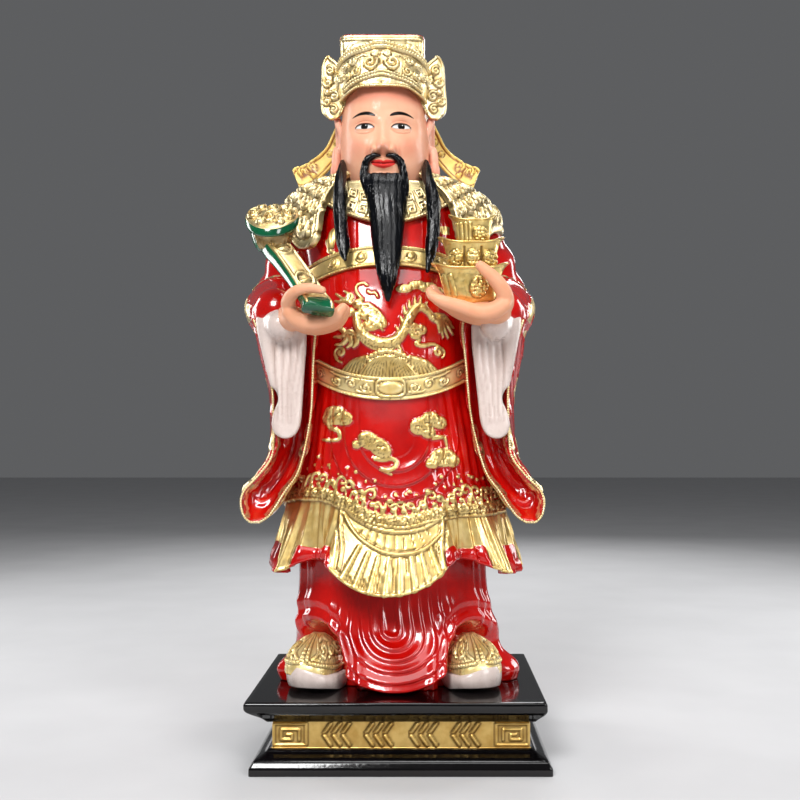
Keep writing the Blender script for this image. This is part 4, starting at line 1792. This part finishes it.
def beard():
    angle = turns(64)[None, :]
    z = np.linspace(BEARD[0][0], BEARD[-1][0], 110)[:, None]
    forward, width, depth = smooth(BEARD)(z)
    x = width * power(np.sin(angle), 0.9)
    y = -forward - depth * power(np.cos(angle), 0.9)
    parts = [surface(x, y, z)]
    for side in (-1, 1):
        lip = [(0.0022, -0.0416, 0.4190), (0.0062, -0.0416, 0.4190), (0.0108, -0.0404, 0.4165),
               (0.0132, -0.0394, 0.4105), (0.0134, -0.0410, 0.4020), (0.0118, -0.0440, 0.3920)]
        parts.append(tube(mirrored(side, lip), (0.0008, 0.0019, 0.0026, 0.0029, 0.0034, 0.0036), 24))
        strand = [(0.0300, -0.0180, 0.4210), (0.0302, -0.0280, 0.4110), (0.0312, -0.0390, 0.3980),
                  (0.0322, -0.0470, 0.3850), (0.0318, -0.0500, 0.3680), (0.0300, -0.0540, 0.3520),
                  (0.0280 - 0.0010 * side, -0.0590, 0.3390 - 0.0040 * side)]
        parts.append(tube(mirrored(side, strand),
                          (0.0018, 0.0036, 0.0046, 0.0050, 0.0046, 0.0042, 0.0012), 24))
    skin = Cast(parts, 0.0008, 2)
    x, z = skin.grid[:, 0], skin.grid[:, 2]
    middle = np.abs(x) < 0.0205
    way = np.where(middle, x / (0.012 + 0.10 * np.clip(z - 0.32, 0, 0.09)), x / 0.014)
    drift = 0.05 * np.sin(70 * z) + 0.03 * np.sin(160 * z + 2) + 0.015 * np.sin(420 * z + 9 * way)
    coarse = np.abs(np.sin(13.0 * (way + drift)))
    fine = np.abs(np.sin(37.0 * (way + drift) + 1.3))
    skin.height = 0.00040 * coarse + 0.00032 * fine - 0.0003
    skin.build("beard", HAIR, "red_enamel")


beard()


# The hat: half the way round its band, and how far off the middle its front corners are.
HAT_ROUND = 0.140
HAT_CORNER = 0.0325


def hat_crown():
    """The tall back tier, a rounded box: gilt on its front, red on its sides, top and back."""
    angle = front_turns(161, 1.2, 1.0)
    top = HAT_TOP - 0.0008
    foot, shoulder = 0.4780, top - 0.0028
    rows = [(z, 0.0) for z in np.linspace(foot, shoulder, 40)]
    rows += [(shoulder + 0.0024 * math.sin(t), 0.0026 * (1 - math.cos(t)))
             for t in np.linspace(0.15, math.pi / 2, 8)]
    rows += [(top - 0.0004 + 0.0004 * math.sin(t), 0.0026 + 0.0160 * t) for t in np.linspace(0.1, 1.0, 6)]
    rings = []
    for z, shrink in rows:
        level = (min(z, shoulder) - foot) / (shoulder - foot)
        width = 0.0300 + 0.0008 * level - shrink
        x, y = oval(angle[0], width, max(0.0205 - shrink, 0.002), max(0.0300 - shrink, 0.002), 9.0)
        rings.append(np.stack([x, y, np.full_like(x, z)], -1))
    skin = Skin(np.array(rings))
    front = (skin.grid[..., 1] < -0.0180) & (skin.grid[..., 2] < shoulder + 0.0012)
    skin.gilt = np.where(front, np.minimum(0.0301 - np.abs(skin.grid[..., 0]), 0.002), -0.005)
    skin.u = np.where(front, skin.grid[..., 0], FAR)
    for side in (-1, 1):
        skin.ridge(mm((side * 29.1, 480), (side * 29.5, 509)), 0.0010, 0.0008)
        skin.stroke(((side * 27, 499), (side * 20, 506.5), (side * 10, 507.5)), 0.0010, 0.0004)
    skin.ridge(mm((-29.5, 508.9), (29.5, 508.9)), 0.0011, 0.0008)
    skin.height += 0.00035 * pebbles(skin.grid[..., 0], skin.grid[..., 2], 0.0042, 5) * front
    skin.build("hat_crown", ENAMEL, "red_enamel", closed=(True, True))


def hat_band():
    """The low front tier with its arched and beaded edges and a row of curls."""
    angle = front_turns(341, 2.4, 1.2)
    level = np.concatenate([[0.0], np.linspace(0, 1, 62), [1.0, 1.0]])[:, None]
    degrees = degrees_off_front(angle)
    bottom = 0.4680 - 0.0038 * ease(16, 60, degrees) - 0.0092 * ease(76, 140, degrees)
    droop = 1 - np.cos(np.radians(np.minimum(degrees, 78)))
    top = 0.5004 + 0.0030 * bell(degrees, 9) - 0.0140 * droop - 0.0050 * ease(85, 150, degrees)
    z = bottom + level * (top - bottom)
    bulge = 0.0022 * np.sin(math.pi * level)
    inset = np.zeros_like(level)
    inset[0], inset[-2], inset[-1] = 0.0065, 0.0022, 0.0060
    x, y = oval(angle, 0.0306 + 0.0022 * level + bulge - inset, 0.0395 - 0.0062 * level + bulge - inset,
                0.0360 + bulge - inset, 3.0)
    z[0] += 0.0050
    skin = Skin(surface(x, y, z))
    skin.gilt[:] = 0.002
    row = skin.grid[len(level) // 2, :, :2]
    around = np.concatenate([[0], np.cumsum(np.hypot(*np.diff(row, axis=0).T))])
    way = (around - np.interp(0, angle[0], around)) * np.ones_like(skin.u)
    front = skin.grid[..., 1] < 0
    skin.u, skin.v = way, (level - 0.5) * 0.0328 * np.ones_like(way)
    for v, size, gap in ((0.0147, 0.0012, 0.0023), (0.0114, 0.0011, 0.0021)):
        skin.ridge([(-HAT_ROUND, v), (HAT_ROUND, v)], size, 0.0021, beads=gap)
    skin.groove([(-HAT_ROUND, 0.0130), (HAT_ROUND, 0.0130)], 0.0006, 0.0008)
    skin.groove([(-HAT_ROUND, 0.0094), (HAT_ROUND, 0.0094)], 0.0008, 0.0009)
    arch = np.linspace(-0.0330, 0.0330, 34)
    for lift, size in ((0.0, 0.0010), (0.0022, 0.0010)):
        rise = -0.0128 + lift + 0.0048 * (1 - np.abs(arch) / 0.0330) ** 1.4
        skin.ridge(np.column_stack([arch, rise]), size, 0.0020, beads=0.0021)
        skin.groove(np.column_stack([arch, rise + 0.0014]), 0.0005, 0.0006)
    skin.ridge([(-HAT_ROUND, -0.0150), (-HAT_CORNER, -0.0150)], 0.0010, 0.0013, beads=0.0020)
    skin.ridge([(HAT_CORNER, -0.0150), (HAT_ROUND, -0.0150)], 0.0010, 0.0013, beads=0.0020)
    skin.ridge([(-HAT_CORNER, -0.0154), (HAT_CORNER, -0.0154)], 0.0008, 0.0012, beads=0.0019)
    skin.groove(curl(0, -0.0140, 0.0006, 20, 140, 1.0), 0.0006, 0.0012)
    for side in (-1, 1):
        big = curl(side * 0.0078, 0.0004, 0.0052, 100 + 80 * side, 500 * side, 0.16, 46)
        skin.groove(big, 0.0024, 0.0006)
        skin.ridge(big, (0.0008, 0.0012, 0.0011), 0.0021)
        for x, v, size in ((0.0186, -0.0042, 0.0036), (0.0262, -0.0050, 0.0030), (0.0200, 0.0042, 0.0030),
                           (0.0045, 0.0066, 0.0026), (0.0275, 0.0035, 0.0026), (0.1120, 0.0000, 0.0050),
                           (0.0325, -0.0020, 0.0032), (0.0420, 0.0000, 0.0050), (0.0560, 0.0000, 0.0050),
                           (0.0700, 0.0000, 0.0050), (0.0840, 0.0000, 0.0050), (0.0980, 0.0000, 0.0050)):
            small = curl(side * x, v, size, 90 + 60 * side, 470 * side, 0.18, 40)
            skin.groove(small, 0.0018, 0.0004)
            skin.ridge(small, (0.0007, 0.0010), 0.0018)
        skin.ridge(curve([(side * 0.0100, 0.0058), (side * 0.0130, 0.0072), (side * 0.0165, 0.0058)], 6),
                   (0.0006, 0.0010, 0.0006), 0.0010)
    skin.height += 0.0002 * front * pebbles(skin.u, skin.v, 0.0026, 4)
    skin.build("hat_band", ENAMEL, "red_enamel")


# One side of the hat's wing: height, inner edge, outer edge.
HAT_EAR = (
    (0.4545, 0.0340, 0.0400),
    (0.4580, 0.0300, 0.0440),
    (0.4650, 0.0265, 0.0460),
    (0.4740, 0.0260, 0.0457),
    (0.4820, 0.0265, 0.0452),
    (0.4890, 0.0285, 0.0450),
    (0.4945, 0.0330, 0.0445),
    (0.4980, 0.0370, 0.0430),
    (0.5005, 0.0385, 0.0412),
)


def hat_ears():
    """The leaf-shaped upright at each side: gilt scrolls in front and red behind."""
    for side, name in ((-1, "right"), (1, "left")):
        angle = turns(96)[None, :]
        z = np.linspace(HAT_EAR[0][0], HAT_EAR[-1][0], 72)[:, None]
        inner, outer = smooth(HAT_EAR)(z)
        across, deep = power(np.sin(angle), 0.8), power(np.cos(angle), 0.6)
        x = (inner + outer) / 2 + (outer - inner) / 2 * across
        y = -0.0120 + 0.25 * (x - 0.028) - 0.0028 * deep + 0.0012 * (1 - across**2) * (deep > 0)
        skin = Skin(surface(x, y, z) * (side, 1, 1))
        if side < 0:
            skin = Skin(skin.grid[:, ::-1])
        across = np.abs(skin.grid[..., 0])
        deep = skin.grid[..., 1] + 0.0120 - 0.25 * (across - 0.028)
        face = deep < 0.0006
        skin.gilt = np.where(face, 0.002, -0.005)
        skin.u = np.where(face, across, FAR)
        table = np.array(HAT_EAR)
        inner_edge = np.column_stack([table[:, 1] + 0.0012, table[:, 0]])[1:]
        outer_edge = np.column_stack([table[:, 2] - 0.0012, table[:, 0]])[1:]
        skin.ridge(curve(inner_edge, 5), 0.0009, 0.0012, beads=0.0018)
        skin.ridge(curve(outer_edge, 5), 0.0008, 0.0009)
        for x, v, size, turn in ((38.5, 489.5, 3.4, 420), (40.2, 480.5, 3.4, -420), (35.8, 470.5, 3.8, 440),
                                 (41.3, 467, 3.2, -420), (36.5, 461, 3.4, 420), (34.5, 482.5, 2.6, 420)):
            scroll = curl(x * MM, v * MM, size * MM, 60, turn, 0.18, 40)
            skin.groove(scroll, 0.0020, 0.0005)
            skin.ridge(scroll, (0.0008, 0.0011), 0.0019)
        skin.disc(0.0405, 0.4735, 0.0022, 0.0022, 0, 0.0028)
        skin.build("hat_ear_" + name, ENAMEL, "red_enamel", closed=(True, True))


hat_crown()
hat_band()
hat_ears()

# The hat's hanging lappets, as rings down their length: x, y, z, half width across, half thickness.
LAPPET = (
    (0.0300, 0.0240, 0.4620, 0.0060, 0.0014),
    (0.0350, 0.0228, 0.4505, 0.0062, 0.0014),
    (0.0398, 0.0215, 0.4400, 0.0064, 0.0014),
    (0.0458, 0.0195, 0.4318, 0.0072, 0.0015),
    (0.0540, 0.0170, 0.4240, 0.0084, 0.0015),
    (0.0608, 0.0148, 0.4188, 0.0096, 0.0015),
    (0.0652, 0.0140, 0.4172, 0.0096, 0.0014),
    (0.0676, 0.0136, 0.4164, 0.0076, 0.0012),
)


def lappets():
    """Flat strips that widen into a cloud-shaped end over each shoulder."""
    for side, name in ((-1, "right"), (1, "left")):
        centre, half, length, side_way, face_way, grid = strip(LAPPET, 96, 56, (0.15, -0.95, 0.25), 0.6)
        grid = grid * (side, 1, 1)
        if side < 0:
            grid = grid[:, ::-1]
            side_way, face_way = side_way[:, ::-1], face_way[:, ::-1]
        skin = Skin(grid)
        face = face_way[..., 0] * np.ones_like(skin.u) > 0.2
        skin.u = np.where(face, (half[:, None, None] * side_way)[..., 0], FAR)
        skin.v = length[:, None] * np.ones_like(skin.u)
        total = length[-1]
        upper = 1 if skin.grid[48, np.argmax(skin.u[48] * face[48]), 2] > centre[48, 2] else -1
        for edge in (-1, 1):
            rim = np.column_stack([edge * (half - 0.0010), length])
            skin.ridge(rim, 0.0009, 0.0012, gilt=False)
            skin.groove(rim - (edge * 0.0015, 0), 0.0008, 0.0008)
        for v in (0.018, 0.029):
            skin.groove(curl(0, v, 0.0026, 0, 360, 1.0), 0.0007, 0.0007)
            skin.disc(0.0, v, 0.0022, 0.0022, 0, 0.0022, gilt=False)
        for u, v, size in ((0.0040, total - 0.0070, 0.0040), (0.0030, total - 0.0165, 0.0036)):
            scroll = curl(u * upper, v, size, 90 - 90 * upper, 440 * upper, 0.2, 36)
            skin.groove(scroll, 0.0021, 0.0009)
            skin.ridge(scroll, 0.0009, 0.0016, gilt=False)
        skin.groove(curl(-0.0040 * upper, total - 0.0120, 0.0022, 0, 360, 1.0), 0.0007, 0.0007)
        skin.disc(-0.0040 * upper, total - 0.0120, 0.0019, 0.0019, 0, 0.0018, gilt=False)
        skin.build("lappet_" + name, YELLOW, "yellow_paint", closed=(True, True),
                   replaces=("hat_lappet_" + name,))


lappets()


# The shoes


def shoes():
    for side, name in ((-1, "right"), (1, "left")):
        turn = math.radians(12) * side
        angle = front_turns(151, 2.0, 1.6)
        sole_x, upper_x = (0.0545, 0.0570) if side < 0 else (0.0505, 0.0520)
        for part, bottom, top, width, length, shrink, rows, centre in (
            ("sole", PLINTH_TOP + 0.0003, 0.0655, 0.0212, 0.0345, 0.06, 20, sole_x),
            ("upper", 0.0600, 0.0830, 0.0188, 0.0318, 0.80, 56, upper_x),
        ):
            level = np.linspace(0, 1, rows)[:, None]
            scale = 1 - shrink * level**2.6
            if part == "sole":
                scale = scale - 0.10 * (1 - level) ** 2
            x, y = oval(angle, width * scale, length * scale, length * scale, 2.8)
            y = y + 0.0060 * shrink * level**2
            z = bottom + (top - bottom) * level * np.ones_like(angle)
            if part == "sole":
                inner = -side * x / width
                z = z - 0.0068 * level * ease(-0.4, 1.0, inner)
                z = z + 0.0012 * (1 - level) * ease(0.3, 1.0, -inner)
                z = z + 0.0034 * (1 - level) * ease(0.35, 0.95, -y / length)
            turned = x * math.cos(turn) - y * math.sin(turn), x * math.sin(turn) + y * math.cos(turn)
            skin = Skin(np.stack([side * centre + turned[0], turned[1] - 0.0235, z], -1))
            if part == "upper":
                skin.gilt[:] = 0.002
                skin.u = angle * 0.0230 * np.ones_like(skin.u)
                for u in (-0.0013, 0.0013):
                    skin.ridge([(u, 0.0690), (u, 0.0855)], 0.0011, 0.0014, beads=0.0020)
                for way in (-1, 1):
                    low = 0.0040 if way == -side else 0.0
                    row = curve(np.array([(way * 0.0020, 0.0686), (way * 0.0160, 0.0680 - 0.5 * low),
                                          (way * 0.0300, 0.0674 - low), (way * 0.0450, 0.0672 - low)]), 8)
                    skin.ridge(row, 0.0013, 0.0015, beads=0.0024)
                    skin.ridge(curl(way * 0.0165, 0.0752, 0.0046, 90 + 90 * way, 460 * way, 0.16, 44),
                               (0.0010, 0.0013), 0.0016)
                    skin.ridge(curl(way * 0.0262, 0.0740, 0.0038, 90 - 90 * way, 460 * way, 0.16, 44),
                               0.0011, 0.0016)
                    skin.ridge(curl(way * 0.0350, 0.0745, 0.0042, 90 + 90 * way, 460 * way, 0.16, 44),
                               0.0011, 0.0016)
                    arc = curve([(way * 0.0045, 0.0705), (way * 0.0100, 0.0740), (way * 0.0085, 0.0815)], 6)
                    skin.ridge(arc, 0.0010, 0.0010)
                    arc = curve([(way * 0.0120, 0.0800), (way * 0.0200, 0.0812), (way * 0.0280, 0.0790)], 6)
                    skin.ridge(arc, 0.0011, 0.0012)
                    for step in range(3):
                        skin.disc(way * (0.0120 + 0.0050 * step), 0.0708, 0.0013, 0.0013, 0, 0.0014)
                skin.height += 0.0004 * pebbles(skin.u, skin.v, 0.0024, 6) * (np.abs(skin.u) > 0.013)
                skin.build("shoe_" + name, SATIN, "gold_leaf", closed=(True, True))
            else:
                skin.height += 0.0002 * np.sin(260 * (z - bottom))
                skin.build("sole_" + name, PEARL, "red_enamel", closed=(True, True))


shoes()


# Surroundings, light and camera


# The lights: place, what they point at, width and height, watts.
LIGHTS = {
    "key": ((-0.40, -1.20, 1.10), (0, 0, 0.27), (0.45, 0.45), 17),
    "fill": ((0.80, -1.10, 0.70), (0, 0, 0.25), (0.35, 0.60), 7),
    "top": ((0.0, -0.20, 1.45), (0, 0, 0.35), (0.5, 0.4), 4),
    "high front": ((0.05, -0.85, 1.35), (0, 0, 0.34), (1.0, 0.40), 4),
    "left rim": ((-1.00, 0.45, 0.55), (0, 0, 0.25), (0.25, 0.80), 5),
    "right rim": ((1.00, 0.45, 0.55), (0, 0, 0.25), (0.25, 0.80), 5),
    "back": ((0.15, 1.30, 0.90), (0, 0, 0.25), (0.6, 0.6), 8),
}
WORLD_COLOUR = (0.55, 0.56, 0.58, 1)
WORLD_STRENGTH = 0.20
FLOOR_LIGHT, FLOOR_DARK = (0.60, 0.60, 0.61), (0.56, 0.56, 0.57)
# The camera stands where the photograph was taken from.
CAMERA_PLACE = (0.0198, -0.7537, 0.2175)
CAMERA_TILT = 90.81
LENS = 46.13
SENSOR = 36
LENS_SHIFT = (-0.0322, 0.0375)


def placed(name, data):
    made = bpy.data.objects.new(name, data)
    bpy.context.scene.collection.objects.link(made)
    return made


def area_light(name, place, target, size, watts):
    lamp = bpy.data.lights.new(name, "AREA")
    lamp.shape = "RECTANGLE"
    lamp.size, lamp.size_y = size
    lamp.energy = watts
    made = placed(name, lamp)
    made.location = place
    away = mathutils.Vector(place) - mathutils.Vector(target)
    made.rotation_euler = away.to_track_quat("Z", "Y").to_euler()


def surroundings():
    mesh = bpy.data.meshes.new("floor")
    mesh.from_pydata([(-6, -3, 0), (6, -3, 0), (6, 6, 0), (-6, 6, 0)], [], [(0, 1, 2, 3)])
    floor = placed("floor", mesh)
    made = Shader("floor", Roughness=0.8)
    made.set("Base Color", made.blend(made.ramp(made.noise(9.0, 4.0), 0.3, 0.7), FLOOR_LIGHT, FLOOR_DARK))
    mesh.materials.append(made.material)
    world = bpy.data.worlds.new("studio")
    world.use_nodes = True
    world.node_tree.nodes["Background"].inputs["Color"].default_value = WORLD_COLOUR
    world.node_tree.nodes["Background"].inputs["Strength"].default_value = WORLD_STRENGTH
    bpy.context.scene.world = world
    for name, light in LIGHTS.items():
        area_light(name, *light)


def camera():
    lens = bpy.data.cameras.new("camera")
    lens.lens = LENS
    lens.sensor_width = SENSOR
    lens.shift_x, lens.shift_y = LENS_SHIFT
    made = placed("camera", lens)
    made.location = CAMERA_PLACE
    made.rotation_euler = (math.radians(CAMERA_TILT), 0, 0)
    bpy.context.scene.camera = made


surroundings()
camera()
bpy.context.scene.view_settings.view_transform = "Standard"
